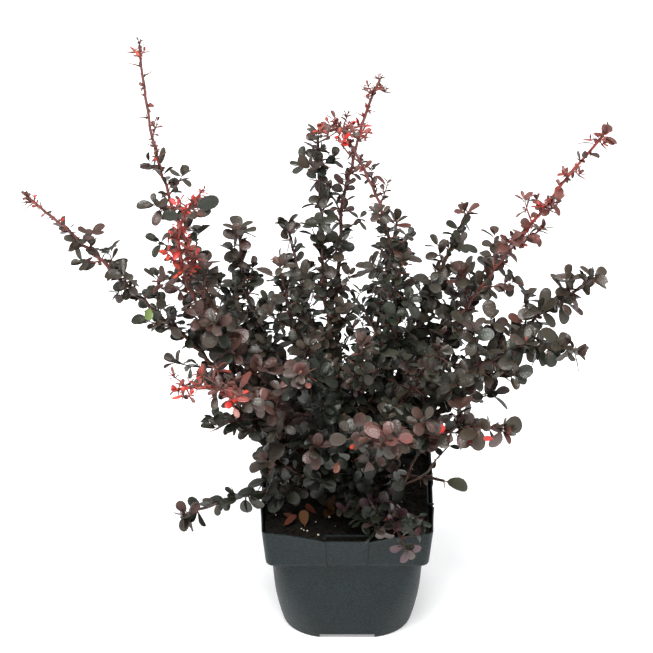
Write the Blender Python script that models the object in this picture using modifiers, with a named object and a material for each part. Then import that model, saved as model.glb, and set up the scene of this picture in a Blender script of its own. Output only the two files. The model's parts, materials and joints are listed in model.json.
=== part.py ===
"""A young Japanese barberry in a square nursery pot.

The shrub is a short woody stool that stands on the compost. Arching boughs leave the stool, and each bough
hands over to one mass of foliage: the shoot's own stem, its side twigs and their spoon-shaped leaves.
Metres, +Z up. The origin is the middle of the pot's flat underside, and -Y is the front.
"""

import math
import random
from collections import namedtuple

import bmesh
import bpy
import numpy as np
from mathutils import Matrix, Vector
from mathutils.bvhtree import BVHTree

SEED = 7
CLEAR = 0.0003  # gap between neighbouring solids
SHARP = math.radians(60)  # edges sharper than this stay sharp in the shading

# The pot: a square rim and band on a body whose corners grow rounder towards the base
POT_WIDTH = 0.170
POT_HEIGHT = 0.138
BAND_HEIGHT = 0.041
BAND_TAPER = 0.004  # the band is this much narrower on each side at its foot
WALL = 0.0016
FLOOR = 0.005
RIM_CORNER = 0.006
RIM_DIP = 0.009  # the rim is lower at the middle of each side
RIM_BULGE = 0.002  # and is pushed out a little there by the compost
BODY = [  # height, half width and corner radius of the body under the band
    (0.0, 0.0638, 0.0445),
    (0.004, 0.0650, 0.0440),
    (0.020, 0.0683, 0.0405),
    (0.050, 0.0722, 0.0300),
    (0.096, 0.0750, 0.0130),
]
NOTCH = (0.055, 0.016, 0.003)  # width, depth and height of the drainage notch under each side
DRAIN_SLOT = (0.014, 0.004)
PANEL = (0.043, 0.0007, 0.004)  # width, depth and margin of the sunk label panel on each side

# The compost, and the woody stool that stands on it
COMPOST_TOP = 0.126
COMPOST_MOUND = 0.004
STOOL_RADIUS = 0.021
STOOL_HEIGHT = 0.024
STOOL_FLARE = 1.25
STOOL_CENTRE = Vector((0.0, 0.004, COMPOST_TOP + COMPOST_MOUND + CLEAR))

# Limbs and twigs
BOUGH_FOOT = 0.0026
BOUGH_END = 0.0019
STEM_START = 0.0018
STEM_TIP = 0.0008
TWIG_ROOT = 0.0012
TWIG_TIP = 0.0008
FEET_APART = math.radians(18)
FEET_CENTRE = 0.25  # the shoots fan out from this share of the stool's height
FEET_RISE = 0.16  # least upward part of a foot's direction
FEET_STEP = 0.00005  # a foot is moved out in steps of this until it clears the stool
SHORT_STEP = 0.06  # a limb's piece at a joint is short, so that its end stays square to its curve
STEM_STEP = 0.065  # length of a stem's straight pieces

# Leaves: spoon-shaped, drawn larger than life so that the crown is as full as the plant's
LEAF_LENGTH = 0.040
LEAF_WIDTH = 0.68  # of its length
LEAF_THICK = 0.040  # of its length
NODE_SPACING = (0.0148, 0.038)  # on a stem of no length, and how much more for each metre of it
TWIG_SPACING = (0.029, 0.035)
SHORTEST_TWIG = 0.015
TWIG_SHORTENS = 0.75  # twigs get shorter as this power of the stem's length that is left
TWIG_STRETCH = (0.05, 0.85)  # the stretch of a stem that carries side twigs
TWIG_OPENING = (42, 62)  # degrees between a twig and its stem
TWIG_TRIES = ((0.0, 1.0), (1.2, 0.9), (-1.2, 0.85), (2.4, 0.8))  # turns and shares of the length
LEAF_LEAN = (12, 42)  # degrees that a leaf leans forward from square to its twig
LEAF_ROLL = 0.6
LEAF_TRIES = ((0.0, 1.0), (0.9, 0.95), (-0.9, 0.9), (2.0, 0.85), (-2.0, 0.8))
LEAF_SPREAD = (0.86, 1.08)
FULL_SIZE = 0.15  # leaves keep their full size over this share of a stem
UPWARD, OUTWARD, FORWARD = 0.75, 0.5, 0.35  # how far a leaf's top turns each way
GOLDEN_ANGLE = math.radians(137.5)
SPACE_MARGIN = 0.0005  # a leaf stays this much nearer to its own stem than to any other
TOUCH = 0.0006  # leaves and twigs stay this far from limbs, pot, compost and other masses
OVER_RIM = (0.006, 0.001)  # room beside the rim, and above it
OVER_COMPOST = 0.002
ROOT_ZONE = 0.006  # the root of a leaf belongs to its twig this far out

# Each shoot is one curve from its foot on the stool, drawn towards its knee and ending at its tip.
# bare is the share of it that is a leafless bough, reach the length of its longest side twigs, and
# tip_leaf the size of the leaves at its tip as a share of those at its foot.
Shoot = namedtuple("Shoot", "name knee tip bare reach tip_leaf")
SHOOTS = [
    Shoot("tall_left", (-0.182, 0.020, 0.353), (-0.201, 0.050, 0.610), 0.26, 0.036, 0.36),
    Shoot("far_left", (-0.195, -0.010, 0.365), (-0.309, -0.010, 0.476), 0.26, 0.032, 0.36),
    Shoot("red_left", (-0.218, -0.040, 0.418), (-0.142, -0.040, 0.496), 0.30, 0.030, 0.60),
    Shoot("mid_left", (-0.110, -0.055, 0.329), (-0.129, -0.070, 0.368), 0.18, 0.026, 0.85),
    Shoot("low_left_red", (-0.075, -0.090, 0.324), (-0.163, -0.130, 0.332), 0.14, 0.020, 0.50),
    Shoot("low_left", (-0.078, -0.050, 0.246), (-0.109, -0.070, 0.260), 0.10, 0.034, 0.80),
    Shoot("runner_left", (-0.085, -0.045, 0.171), (-0.158, -0.060, 0.146), 0.00, 0.012, 0.75),
    Shoot("foot_left", (-0.062, -0.040, 0.193), (-0.078, -0.075, 0.215), 0.00, 0.030, 0.90),
    Shoot("inner_left", (-0.111, 0.050, 0.298), (-0.106, 0.060, 0.398), 0.26, 0.040, 0.70),
    Shoot("dome_left", (-0.055, 0.000, 0.321), (-0.066, -0.010, 0.397), 0.18, 0.044, 0.90),
    Shoot("centre_left", (-0.031, 0.010, 0.393), (-0.029, 0.020, 0.527), 0.28, 0.034, 0.60),
    Shoot("centre_tall", (-0.033, 0.030, 0.426), (0.031, 0.060, 0.567), 0.30, 0.034, 0.36),
    Shoot("centre_cross", (0.096, -0.010, 0.373), (-0.008, 0.000, 0.549), 0.28, 0.036, 0.55),
    Shoot("dome_high", (0.037, -0.010, 0.333), (0.053, -0.020, 0.410), 0.18, 0.044, 0.90),
    Shoot("inner_right", (0.077, 0.040, 0.321), (0.116, 0.050, 0.424), 0.26, 0.040, 0.80),
    Shoot("right_long", (0.103, 0.020, 0.327), (0.247, 0.030, 0.522), 0.26, 0.034, 0.40),
    Shoot("far_right", (0.142, -0.010, 0.307), (0.238, -0.020, 0.391), 0.26, 0.034, 0.70),
    Shoot("mid_right", (0.130, -0.050, 0.356), (0.219, -0.070, 0.340), 0.26, 0.030, 0.70),
    Shoot("dome_right", (0.066, -0.060, 0.302), (0.087, -0.085, 0.347), 0.16, 0.044, 0.90),
    Shoot("low_right_red", (0.085, -0.070, 0.266), (0.148, -0.110, 0.274), 0.12, 0.028, 0.70),
    Shoot("low_right", (0.044, -0.050, 0.225), (0.074, -0.095, 0.274), 0.00, 0.036, 0.85),
    Shoot("stray_right", (0.072, -0.020, 0.168), (0.096, -0.030, 0.165), 0.00, 0.012, 0.85),
    Shoot("front_right_red", (0.023, -0.100, 0.273), (0.042, -0.160, 0.293), 0.12, 0.042, 0.80),
    Shoot("front_left", (-0.032, -0.080, 0.323), (-0.046, -0.145, 0.358), 0.12, 0.044, 0.85),
    Shoot("front_middle", (-0.022, -0.070, 0.237), (-0.031, -0.115, 0.256), 0.08, 0.042, 0.90),
    Shoot("front_bottom", (0.040, -0.060, 0.161), (0.056, -0.100, 0.133), 0.00, 0.014, 0.85),
    Shoot("dome_front", (0.004, -0.055, 0.295), (0.014, -0.085, 0.355), 0.16, 0.046, 0.90),
    Shoot("back_left", (-0.095, 0.075, 0.285), (-0.150, 0.135, 0.325), 0.14, 0.040, 0.85),
    Shoot("back_middle_left", (-0.040, 0.090, 0.300), (-0.060, 0.165, 0.345), 0.12, 0.040, 0.85),
    Shoot("back_middle_right", (0.035, 0.095, 0.305), (0.050, 0.170, 0.345), 0.12, 0.040, 0.85),
    Shoot("back_right", (0.095, 0.070, 0.290), (0.150, 0.135, 0.330), 0.14, 0.040, 0.85),
]

# Linear colour and roughness
POT_PLASTIC = ((0.040, 0.062, 0.062), 0.55)
COMPOST = ((0.010, 0.009, 0.009), 0.95)
BARK = ((0.110, 0.060, 0.040), 0.80)
FOLIAGE = ((0.055, 0.036, 0.042), 0.60)


def clear_scene():
    for obj in list(bpy.data.objects):
        bpy.data.objects.remove(obj)


def material(name, finish):
    colour, roughness = finish
    made = bpy.data.materials.new(name)
    made.use_nodes = True
    shader = made.node_tree.nodes["Principled BSDF"]
    shader.inputs["Base Color"].default_value = (*colour, 1.0)
    shader.inputs["Roughness"].default_value = roughness
    shader.inputs["Metallic"].default_value = 0.0
    return made


def collection(name):
    made = bpy.data.collections.new(name)
    bpy.context.scene.collection.children.link(made)
    return made


def link_mesh(name, mesh, into, finish=None):
    obj = bpy.data.objects.new(name, mesh)
    into.objects.link(obj)
    if finish is not None:
        obj.data.materials.append(finish)
    return obj


def mesh_from(bm, name):
    mesh = bpy.data.meshes.new(name)
    bm.to_mesh(mesh)
    bm.free()
    return mesh


# Pot and compost


def rounded_square(half, corner, z, dip=0.0, bulge=0.0):
    """A ring of a square with round corners. dip lowers and bulge pushes out the middle of each side."""
    flat = half - corner
    ring = []
    for quarter in range(4):
        turn = Matrix.Rotation(quarter * math.pi / 2, 3, "Z")
        for share, middle in ((-0.7, 0.5), (-0.3, 1.0), (0.3, 1.0), (0.7, 0.5)):
            ring.append(turn @ Vector((share * flat, -half - bulge * middle, z - dip * middle)))
        for step in range(5):
            angle = -math.pi / 2 + step * math.pi / 8
            around = Vector((math.cos(angle), math.sin(angle), 0))
            ring.append(turn @ (Vector((flat, -flat, z)) + corner * around))
    return ring


def loft(rings, name):
    """A closed solid through rings of equal count, with a flat cap at each end."""
    bm = bmesh.new()
    made = [[bm.verts.new(p) for p in ring] for ring in rings]
    for low, high in zip(made, made[1:]):
        count = len(low)
        for i in range(count):
            j = (i + 1) % count
            bm.faces.new((low[i], low[j], high[j], high[i]))
    bm.faces.new(list(reversed(made[0])))
    bm.faces.new(made[-1])
    bmesh.ops.recalc_face_normals(bm, faces=bm.faces)
    mesh = mesh_from(bm, name)
    mesh.shade_smooth()
    mesh.set_sharp_from_angle(angle=SHARP)
    return mesh


def wall_rings(inset, first=0):
    """Rings of the wall up to the rim, set in from the outside. The ledge rises by as much."""
    rings = []
    for z, half, corner in BODY[first:-1]:
        rings.append(rounded_square(half - inset, corner - inset, z))
    z, half, corner = BODY[-1]
    rings.append(rounded_square(half - inset, corner - inset, z + inset))
    foot = POT_HEIGHT - BAND_HEIGHT + inset
    band_half = POT_WIDTH / 2 - BAND_TAPER
    rings.append(rounded_square(band_half - inset, RIM_CORNER + 0.002 - inset, foot))
    return rings


def make_pot(parts, cutters, finish):
    top_half = POT_WIDTH / 2
    outer = wall_rings(0.0)
    outer.append(rounded_square(top_half, RIM_CORNER, POT_HEIGHT, RIM_DIP, RIM_BULGE))
    inner = [rounded_square(top_half - WALL, RIM_CORNER - WALL, POT_HEIGHT, RIM_DIP, RIM_BULGE)]
    inner += reversed(wall_rings(WALL, first=2))
    _, half, corner = BODY[1]
    inner.append(rounded_square(half - WALL, corner - WALL, FLOOR))
    pot = link_mesh("pot", loft(outer + inner, "pot"), parts, finish)
    pot_cutters(cutters)
    cut = pot.modifiers.new("drainage and panels", "BOOLEAN")
    cut.operation = "DIFFERENCE"
    cut.operand_type = "COLLECTION"
    cut.collection = cutters
    cut.solver = "EXACT"
    return pot


def box_cutter(name, low, high, place, cutters):
    """A box between two corners, moved into place."""
    low, high = Vector(low), Vector(high)
    bm = bmesh.new()
    sized = Matrix.Translation((low + high) / 2) @ Matrix.Diagonal((*(high - low), 1.0))
    bmesh.ops.create_cube(bm, size=1.0, matrix=place @ sized)
    cutter = link_mesh(name, mesh_from(bm, name), cutters)
    cutter.hide_render = True
    cutter.display_type = "WIRE"


def pot_cutters(cutters):
    """Drainage notches with their slots, and the sunk label panels, one set for each side."""
    width, depth, height = NOTCH
    slot_long, slot_wide = DRAIN_SLOT
    panel_wide, panel_deep, margin = PANEL
    base_half = BODY[0][1]
    slot_y = -base_half + depth * 0.62
    # the band's outer face at the middle of a side, from its foot to the dipped rim
    foot = Vector((0, -POT_WIDTH / 2 + BAND_TAPER, POT_HEIGHT - BAND_HEIGHT))
    rim = Vector((0, -POT_WIDTH / 2 - RIM_BULGE, POT_HEIGHT - RIM_DIP))
    lean = math.atan2(foot.y - rim.y, rim.z - foot.z)
    face = Matrix.Translation(foot) @ Matrix.Rotation(lean, 4, "X")
    band = (rim - foot).length
    for quarter in range(4):
        turn = Matrix.Rotation(quarter * math.pi / 2, 4, "Z")
        low = (-width / 2, -base_half - 0.02, -0.01)
        high = (width / 2, -base_half + depth, height)
        box_cutter(f"notch_cutter_{quarter}", low, high, turn, cutters)
        for side in (-1, 1):
            x = side * width * 0.24
            low = (x - slot_long / 2, slot_y - slot_wide / 2, 0.001)
            high = (x + slot_long / 2, slot_y + slot_wide / 2, FLOOR + 0.003)
            box_cutter(f"drain_cutter_{quarter}_{side}", low, high, turn, cutters)
        low = (-panel_wide / 2, -0.01, margin)
        high = (panel_wide / 2, panel_deep, band - margin)
        box_cutter(f"panel_cutter_{quarter}", low, high, turn @ face, cutters)


def make_compost(parts, finish):
    """The filled inside of the pot, a little clear of its wall, with a slight mound."""
    inset = WALL + CLEAR
    _, half, corner = BODY[1]
    rings = [rounded_square(half - inset, corner - inset, FLOOR + CLEAR)]
    rings += wall_rings(inset, first=2)
    band_half = POT_WIDTH / 2 - BAND_TAPER - inset
    rise = (COMPOST_TOP - POT_HEIGHT + BAND_HEIGHT) / BAND_HEIGHT
    top_half = band_half + BAND_TAPER * rise
    rings.append(rounded_square(top_half, RIM_CORNER, COMPOST_TOP))
    for reach, lift in ((0.7, 0.6), (0.35, 1.0)):
        crown = top_half * reach
        rings.append(rounded_square(crown, crown * 0.5, COMPOST_TOP + COMPOST_MOUND * lift))
    return link_mesh("compost", loft(rings, "compost"), parts, finish)


# Stool and shoots


def stool_radius(height):
    """Radius of the stool at a height above its flat foot: a flare, then a round head."""
    share = height / STOOL_HEIGHT
    flare = 1 + (STOOL_FLARE - 1) * max(0.0, 1 - share / 0.3) ** 2
    head = math.sqrt(max(0.0, 1 - (max(0.0, share - 0.35) / 0.65) ** 2.4))
    return STOOL_RADIUS * flare * head


def make_stool(parts, finish):
    """A turned profile, run down its outer side."""
    levels = (1.0, 0.93, 0.8, 0.6, 0.35, 0.12, 0.0)
    profile = [Vector((stool_radius(STOOL_HEIGHT * s), 0, STOOL_HEIGHT * s)) for s in levels]
    profile.append(Vector((0, 0, 0)))
    mesh = bpy.data.meshes.new("stool")
    mesh.from_pydata(profile, [(i, i + 1) for i in range(len(profile) - 1)], [])
    stool = link_mesh("stool", mesh, parts, finish)
    stool.location = STOOL_CENTRE
    screw = stool.modifiers.new("turned", "SCREW")
    screw.steps = screw.render_steps = 14
    screw.use_merge_vertices = True
    screw.merge_threshold = 0.0001
    return stool


def triangles(mesh, place):
    mesh.calc_loop_triangles()
    points = [place @ v.co for v in mesh.vertices]
    return points, [tuple(t.vertices) for t in mesh.loop_triangles]


def solid_tree(obj):
    """A search tree of an object's faces as they stand after its modifiers."""
    bpy.context.view_layer.update()
    evaluated = obj.evaluated_get(bpy.context.evaluated_depsgraph_get())
    tree = BVHTree.FromPolygons(*triangles(evaluated.to_mesh(), obj.matrix_world))
    evaluated.to_mesh_clear()
    return tree


def spread_feet(directions):
    """Directions from the stool's middle, moved apart until no two feet crowd each other."""
    spread = [d.normalized() for d in directions]
    for _ in range(200):
        moved = False
        for i in range(len(spread)):
            for j in range(i):
                a, b = spread[i], spread[j]
                angle = a.angle(b)
                if angle >= FEET_APART:
                    continue
                push = (a - b).normalized() * (FEET_APART - angle) * 0.5
                spread[i] = (a + push).normalized()
                spread[j] = (b - push).normalized()
                moved = True
        spread = [Vector((d.x, d.y, max(d.z, FEET_RISE))).normalized() for d in spread]
        if not moved:
            break
    return spread


def foot_on(stool, start, direction, knee, radius):
    """Where a limb's round foot, square to the way to its knee, stands just clear of the stool."""
    reach = STOOL_RADIUS * 0.4
    while True:
        centre = start + direction * reach
        along = (knee - centre).normalized()
        side = along.orthogonal().normalized() * radius
        around = [Matrix.Rotation(i * math.pi / 4, 3, along) @ side for i in range(8)]
        clear = True
        for offset in [Vector()] + around:
            nearest, normal, _, distance = stool.find_nearest(centre + offset)
            outside = (centre + offset - nearest).dot(normal) > 0
            clear = clear and outside and distance > CLEAR
        if clear:
            return centre
        reach += FEET_STEP


Curve = namedtuple("Curve", "start knee tip")


def curve_point(curve, t):
    return curve.start * (1 - t) ** 2 + curve.knee * 2 * t * (1 - t) + curve.tip * t * t


def curve_rate(curve, t):
    return ((curve.knee - curve.start) * (1 - t) + (curve.tip - curve.knee) * t) * 2


def curve_slope(curve, t):
    return curve_rate(curve, t).normalized()


def curve_length(curve, low, high, steps=24):
    points = [curve_point(curve, low + (high - low) * i / steps) for i in range(steps + 1)]
    return sum((b - a).length for a, b in zip(points, points[1:]))


def shoot_curves(stool):
    start = STOOL_CENTRE + Vector((0, 0, STOOL_HEIGHT * FEET_CENTRE))
    tree = solid_tree(stool)
    directions = spread_feet([Vector(s.knee) - start for s in SHOOTS])
    curves = {}
    for shoot, direction in zip(SHOOTS, directions):
        radius = BOUGH_FOOT if shoot.bare else STEM_START
        knee = Vector(shoot.knee)
        foot = foot_on(tree, start, direction, knee, radius)
        curves[shoot.name] = Curve(foot, knee, Vector(shoot.tip))
    return curves


def tube(points, radii, resolution, name):
    """A tapering tube along points, drawn as a bevelled curve and made one welded, closed mesh."""
    data = bpy.data.curves.new(name, "CURVE")
    data.dimensions = "3D"
    data.bevel_depth = 1.0
    data.bevel_resolution = resolution
    data.use_fill_caps = True
    line = data.splines.new("POLY")
    line.points.add(len(points) - 1)
    for place, point, radius in zip(line.points, points, radii):
        place.co = (*point, 1.0)
        place.radius = radius
    guide = bpy.data.objects.new(name, data)
    bpy.context.scene.collection.objects.link(guide)
    bpy.context.view_layer.update()
    graph = bpy.context.evaluated_depsgraph_get()
    mesh = bpy.data.meshes.new_from_object(guide.evaluated_get(graph))
    bpy.data.objects.remove(guide)
    bm = bmesh.new()
    bm.from_mesh(mesh)
    bmesh.ops.remove_doubles(bm, verts=bm.verts, dist=1e-6)
    bmesh.ops.recalc_face_normals(bm, faces=bm.faces)
    bm.to_mesh(mesh)
    bm.free()
    mesh.shade_smooth()
    mesh.set_sharp_from_angle(angle=SHARP)
    return mesh


def limb(curve, low, high, shares, thick, thin, resolution, name):
    """A tapering tube along a stretch of a curve."""
    points = [curve_point(curve, low + (high - low) * s) for s in shares]
    radii = [thick + (thin - thick) * s for s in shares]
    return tube(points, radii, resolution, name)


def make_boughs(parts, curves, finish):
    boughs = []
    shares = (0.0, SHORT_STEP, 1 - SHORT_STEP, 1.0)
    for shoot in SHOOTS:
        if shoot.bare:
            curve = curves[shoot.name]
            mesh = limb(curve, 0.0, shoot.bare, shares, BOUGH_FOOT, BOUGH_END, 1, shoot.name)
            boughs.append(link_mesh(f"bough_{shoot.name}", mesh, parts, finish))
    return boughs


# Foliage

Piece = namedtuple("Piece", "centre size solid blade")


class Space:
    """Which stem each point is nearest to, and what stands in the way of a leaf or a twig."""

    def __init__(self, curves, blockers):
        self.stems = {}
        for shoot in SHOOTS:
            shares = np.linspace(shoot.bare, 1.0, 24)
            line = [curve_point(curves[shoot.name], float(t)) for t in shares]
            self.stems[shoot.name] = np.array(line)
        self.blockers = blockers
        self.placed = {shoot.name: [] for shoot in SHOOTS}

    def own(self, name, points):
        """True if all points are nearer to this mass's stem than to any other."""
        for point in points:
            here = np.array(point)
            away = {stem: np.linalg.norm(line - here, axis=1).min() for stem, line in self.stems.items()}
            mine = away.pop(name)
            if mine + SPACE_MARGIN > min(away.values()):
                return False
        return True

    def above_pot(self, points):
        """True if all points clear the compost and the rim."""
        beside, above = OVER_RIM
        floor = COMPOST_TOP + COMPOST_MOUND + OVER_COMPOST
        for p in points:
            past_rim = max(abs(p.x), abs(p.y)) - POT_WIDTH / 2
            if past_rim < 0 and p.z < floor:
                return False
            if abs(past_rim) < beside and p.z < POT_HEIGHT + above:
                return False
        return True

    def free(self, name, points, faces, blade=None, parent=None):
        """True if a solid touches no limb, no pot, no other mass and no other leaf of its own."""
        centre = sum(points, Vector()) / len(points)
        grown = [p + (p - centre).normalized() * TOUCH for p in points]
        tree = BVHTree.FromPolygons(grown, faces)
        if any(tree.overlap(block) for block in self.blockers):
            return False
        size = max((p - centre).length for p in grown)
        for other, pieces in self.placed.items():
            for piece in pieces:
                if (piece.centre - centre).length > size + piece.size or piece is parent:
                    continue
                if other != name and tree.overlap(piece.solid):
                    return False
                if other == name and blade is not None and blade.overlap(piece.blade):
                    return False
        return True

    def place(self, name, points, faces, blade=None):
        centre = sum(points, Vector()) / len(points)
        size = max((p - centre).length for p in points)
        solid = BVHTree.FromPolygons(points, faces)
        piece = Piece(centre, size, solid, blade or solid)
        self.placed[name].append(piece)
        return piece


def leaf_mesh():
    """A thin five-sided pyramid made into a blade one unit long: its root at the origin, its tip at +Y,
    its five-cornered upper face at +Z and its apex the keel below."""
    bm = bmesh.new()
    bmesh.ops.create_cone(bm, cap_ends=True, segments=5, radius1=1.0, radius2=0.0, depth=1.0)
    half = LEAF_WIDTH / 2
    outline = [(0, 0, 0), (-half, 0.56, 0.045), (-half * 0.62, 0.96, 0.01), (half * 0.62, 0.96, 0.01)]
    outline.append((half, 0.56, 0.045))
    rim = [v for v in bm.verts if v.co.z < 0]
    apex = next(v for v in bm.verts if v.co.z > 0)
    rim.sort(key=lambda v: math.atan2(v.co.y, v.co.x), reverse=True)
    for vert, place in zip(rim, outline):
        vert.co = place
    apex.co = (0, 0.60, -LEAF_THICK)
    upper = next(f for f in bm.faces if len(f.verts) == 5)
    # the fold across the spoon keeps two of the upper edges at the root, so it joins its twig cleanly
    bmesh.utils.face_split(upper, rim[1], rim[4])
    bmesh.ops.triangulate(bm, faces=[f for f in bm.faces if len(f.verts) > 3])
    bmesh.ops.recalc_face_normals(bm, faces=bm.faces)
    return mesh_from(bm, "leaf")


def twig_mesh(start, end):
    """A three-sided tapering twig between two points."""
    bm = bmesh.new()
    along = end - start
    place = Matrix.Translation((start + end) / 2) @ along.to_track_quat("Z", "Y").to_matrix().to_4x4()
    bmesh.ops.create_cone(
        bm,
        cap_ends=True,
        segments=3,
        radius1=TWIG_ROOT,
        radius2=TWIG_TIP,
        depth=along.length,
        matrix=place,
    )
    bmesh.ops.recalc_face_normals(bm, faces=bm.faces)
    return mesh_from(bm, "twig")


def side_of(along, angle):
    """A direction square to along, turned by an angle from its upward side."""
    up = Vector((0, 0, 1)) if abs(along.z) < 0.95 else Vector((0, 1, 0))
    side = along.cross(up).normalized()
    over = side.cross(along).normalized()
    return over * math.cos(angle) + side * math.sin(angle)


def leaf_place(root, along, angle, lean, roll, length):
    """Where a leaf sits: it leans forward from square to the twig, and turns its top up and outward."""
    outward = side_of(along, angle)
    blade = (outward * math.cos(lean) + along * math.sin(lean)).normalized()
    from_axis = Vector((root.x, root.y, 0)).normalized()
    top = Vector((0, 0, UPWARD)) + from_axis * OUTWARD + along * FORWARD
    across = blade.cross(top).normalized()
    across = (Matrix.Rotation(roll, 3, blade) @ across).normalized()
    normal = across.cross(blade).normalized()
    turn = Matrix((across, blade, normal)).transposed().to_4x4()
    return Matrix.Translation(root) @ turn @ Matrix.Diagonal((length, length, length, 1.0))


class Mass:
    """One mass of foliage: a stem that carries on from its bough, side twigs and leaves."""

    def __init__(self, shoot, curve, space, leaf):
        self.shoot, self.curve, self.space, self.leaf = shoot, curve, space, leaf
        self.rng = random.Random(f"{SEED} {shoot.name}")
        self.pieces = []
        gap = CLEAR / curve_rate(curve, shoot.bare).length if shoot.bare else 0.0
        self.low = shoot.bare + gap
        self.length = curve_length(curve, self.low, 1.0)
        steps = max(2, round(self.length / STEM_STEP))
        self.shares = [0.0, SHORT_STEP / 2] + [i / steps for i in range(1, steps + 1)]
        self.stem = limb(curve, self.low, 1.0, self.shares, STEM_START, STEM_TIP, 0, shoot.name)
        self.trunk = space.place(shoot.name, *triangles(self.stem, Matrix()))

    def at(self, share):
        """A point on the axis of the stem's straight pieces, from 0 at its foot to 1 at its tip."""
        for low, high in zip(self.shares, self.shares[1:]):
            if share <= high:
                break
        ends = [curve_point(self.curve, self.low + (1 - self.low) * s) for s in (low, high)]
        return ends[0].lerp(ends[1], (share - low) / (high - low))

    def slope(self, share):
        return curve_slope(self.curve, self.low + (1 - self.low) * share)

    def try_leaf(self, root, along, angle, size, parent):
        """Sets one leaf at a node, turned or made smaller until it fits, or leaves it out."""
        lean = math.radians(self.rng.uniform(*LEAF_LEAN))
        roll = self.rng.uniform(-LEAF_ROLL, LEAF_ROLL)
        for turn, shrink in LEAF_TRIES:
            place = leaf_place(root, along, angle + turn, lean, roll, LEAF_LENGTH * size * shrink)
            points, faces = triangles(self.leaf, place)
            far = [p for p in points if (p - root).length > ROOT_ZONE]
            if not self.space.above_pot(far) or not self.space.own(self.shoot.name, far):
                continue
            # the blade without its root, which may cross a sister leaf's inside the twig
            widest = place @ Vector((0, 0.6, 0))
            near = ROOT_ZONE / 2
            blade_points = [p.lerp(widest, 0.3) if (p - root).length < near else p for p in points]
            blade = BVHTree.FromPolygons(blade_points, faces)
            if self.space.free(self.shoot.name, points, faces, blade, parent):
                self.space.place(self.shoot.name, points, faces, blade)
                mesh = self.leaf.copy()
                mesh.transform(place)
                self.pieces.append(mesh)
                return

    def spacing(self, rule):
        """Short stems stand in the thick of the crown and carry their leaves closer together."""
        least, more = rule
        return least + more * self.length

    def size_at(self, share):
        """Leaves grow smaller along a shoot, once it has left the middle of the crown."""
        late = max(0.0, (share - FULL_SIZE) / (1 - FULL_SIZE))
        return (1 + (self.shoot.tip_leaf - 1) * late) * self.rng.uniform(*LEAF_SPREAD)

    def dress(self, point_at, slope_at, length, size_at, parent):
        """Leaves at the nodes of a stem or twig, and a pair at its tip that opens forwards."""
        angle = self.rng.uniform(0, 2 * math.pi)
        count = max(1, round(length / self.spacing(NODE_SPACING)))
        for i in range(count):
            share = (i + 0.6) / (count + 0.3)
            self.try_leaf(point_at(share), slope_at(share), angle, size_at(share), parent)
            angle += GOLDEN_ANGLE
        for turn in (0.0, math.pi):
            self.try_leaf(point_at(0.98), slope_at(1.0), angle + turn, size_at(1.0) * 0.92, parent)

    def twig(self, share, angle):
        """A side twig that leaves the stem at an angle, with its leaves."""
        start, along = self.at(share), self.slope(share)
        length = self.shoot.reach * (1 - share) ** TWIG_SHORTENS * self.rng.uniform(0.8, 1.1)
        if length < SHORTEST_TWIG:
            return
        for turn, part in TWIG_TRIES:
            opening = math.radians(self.rng.uniform(*TWIG_OPENING))
            heading = along * math.cos(opening) + side_of(along, angle + turn) * math.sin(opening)
            end = start + heading * length * part
            mesh = twig_mesh(start, end)
            points, faces = triangles(mesh, Matrix())
            far = [end, start.lerp(end, 0.6)]
            if not self.space.above_pot(far) or not self.space.own(self.shoot.name, far):
                continue
            blade = BVHTree.FromPolygons([p.lerp(end, 0.4) for p in points], faces)
            if self.space.free(self.shoot.name, points, faces, blade, self.trunk):
                parent = self.space.place(self.shoot.name, points, faces)
                self.pieces.append(mesh)
                size = self.size_at(share)
                self.dress(lambda s: start.lerp(end, s), lambda s: heading, length, lambda s: size, parent)
                return

    def grow(self):
        """Side twigs first, then the leaves of the stem itself in the room that is left."""
        count = max(1, round(self.length / self.spacing(TWIG_SPACING)))
        angle = self.rng.uniform(0, 2 * math.pi)
        first, last = TWIG_STRETCH
        for i in range(count):
            self.twig(first + (last - first) * i / count, angle)
            angle += GOLDEN_ANGLE
        self.dress(self.at, self.slope, self.length, self.size_at, self.trunk)


def one_body(mesh):
    """Keeps the largest shell: a sealed hollow and a loose scrap are the others."""
    bm = bmesh.new()
    bm.from_mesh(mesh)
    left = set(bm.verts)
    shells = []
    while left:
        seed = left.pop()
        shell, edge = {seed}, [seed]
        while edge:
            for link in edge.pop().link_edges:
                for vert in link.verts:
                    if vert not in shell:
                        shell.add(vert)
                        edge.append(vert)
        left -= shell
        shells.append(shell)
    shells.sort(key=len)
    for shell in shells[:-1]:
        bmesh.ops.delete(bm, geom=list(shell), context="VERTS")
    bm.to_mesh(mesh)
    bm.free()


def fuse(name, stem, pieces, parts, finish):
    """One Boolean union of a mass's stem with its twigs and leaves."""
    loose = collection(f"{name} pieces")
    for index, mesh in enumerate(pieces):
        link_mesh(f"{name}_piece_{index}", mesh, loose)
    whole = link_mesh(name, stem, parts, finish)
    join = whole.modifiers.new("fused", "BOOLEAN")
    join.operation = "UNION"
    join.operand_type = "COLLECTION"
    join.collection = loose
    join.solver = "MANIFOLD"
    bpy.context.view_layer.update()
    graph = bpy.context.evaluated_depsgraph_get()
    mesh = bpy.data.meshes.new_from_object(whole.evaluated_get(graph))
    whole.modifiers.clear()
    whole.data = mesh
    mesh.materials.clear()
    mesh.materials.append(finish)
    for piece in list(loose.objects):
        bpy.data.objects.remove(piece)
    bpy.data.collections.remove(loose)
    one_body(mesh)


def make_masses(parts, curves, limbs, finish):
    space = Space(curves, [solid_tree(obj) for obj in limbs])
    leaf = leaf_mesh()
    masses = [Mass(shoot, curves[shoot.name], space, leaf) for shoot in SHOOTS]
    for mass in masses:
        mass.grow()
    for mass in masses:
        fuse(f"foliage_{mass.shoot.name}", mass.stem, mass.pieces, parts, finish)


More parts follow.
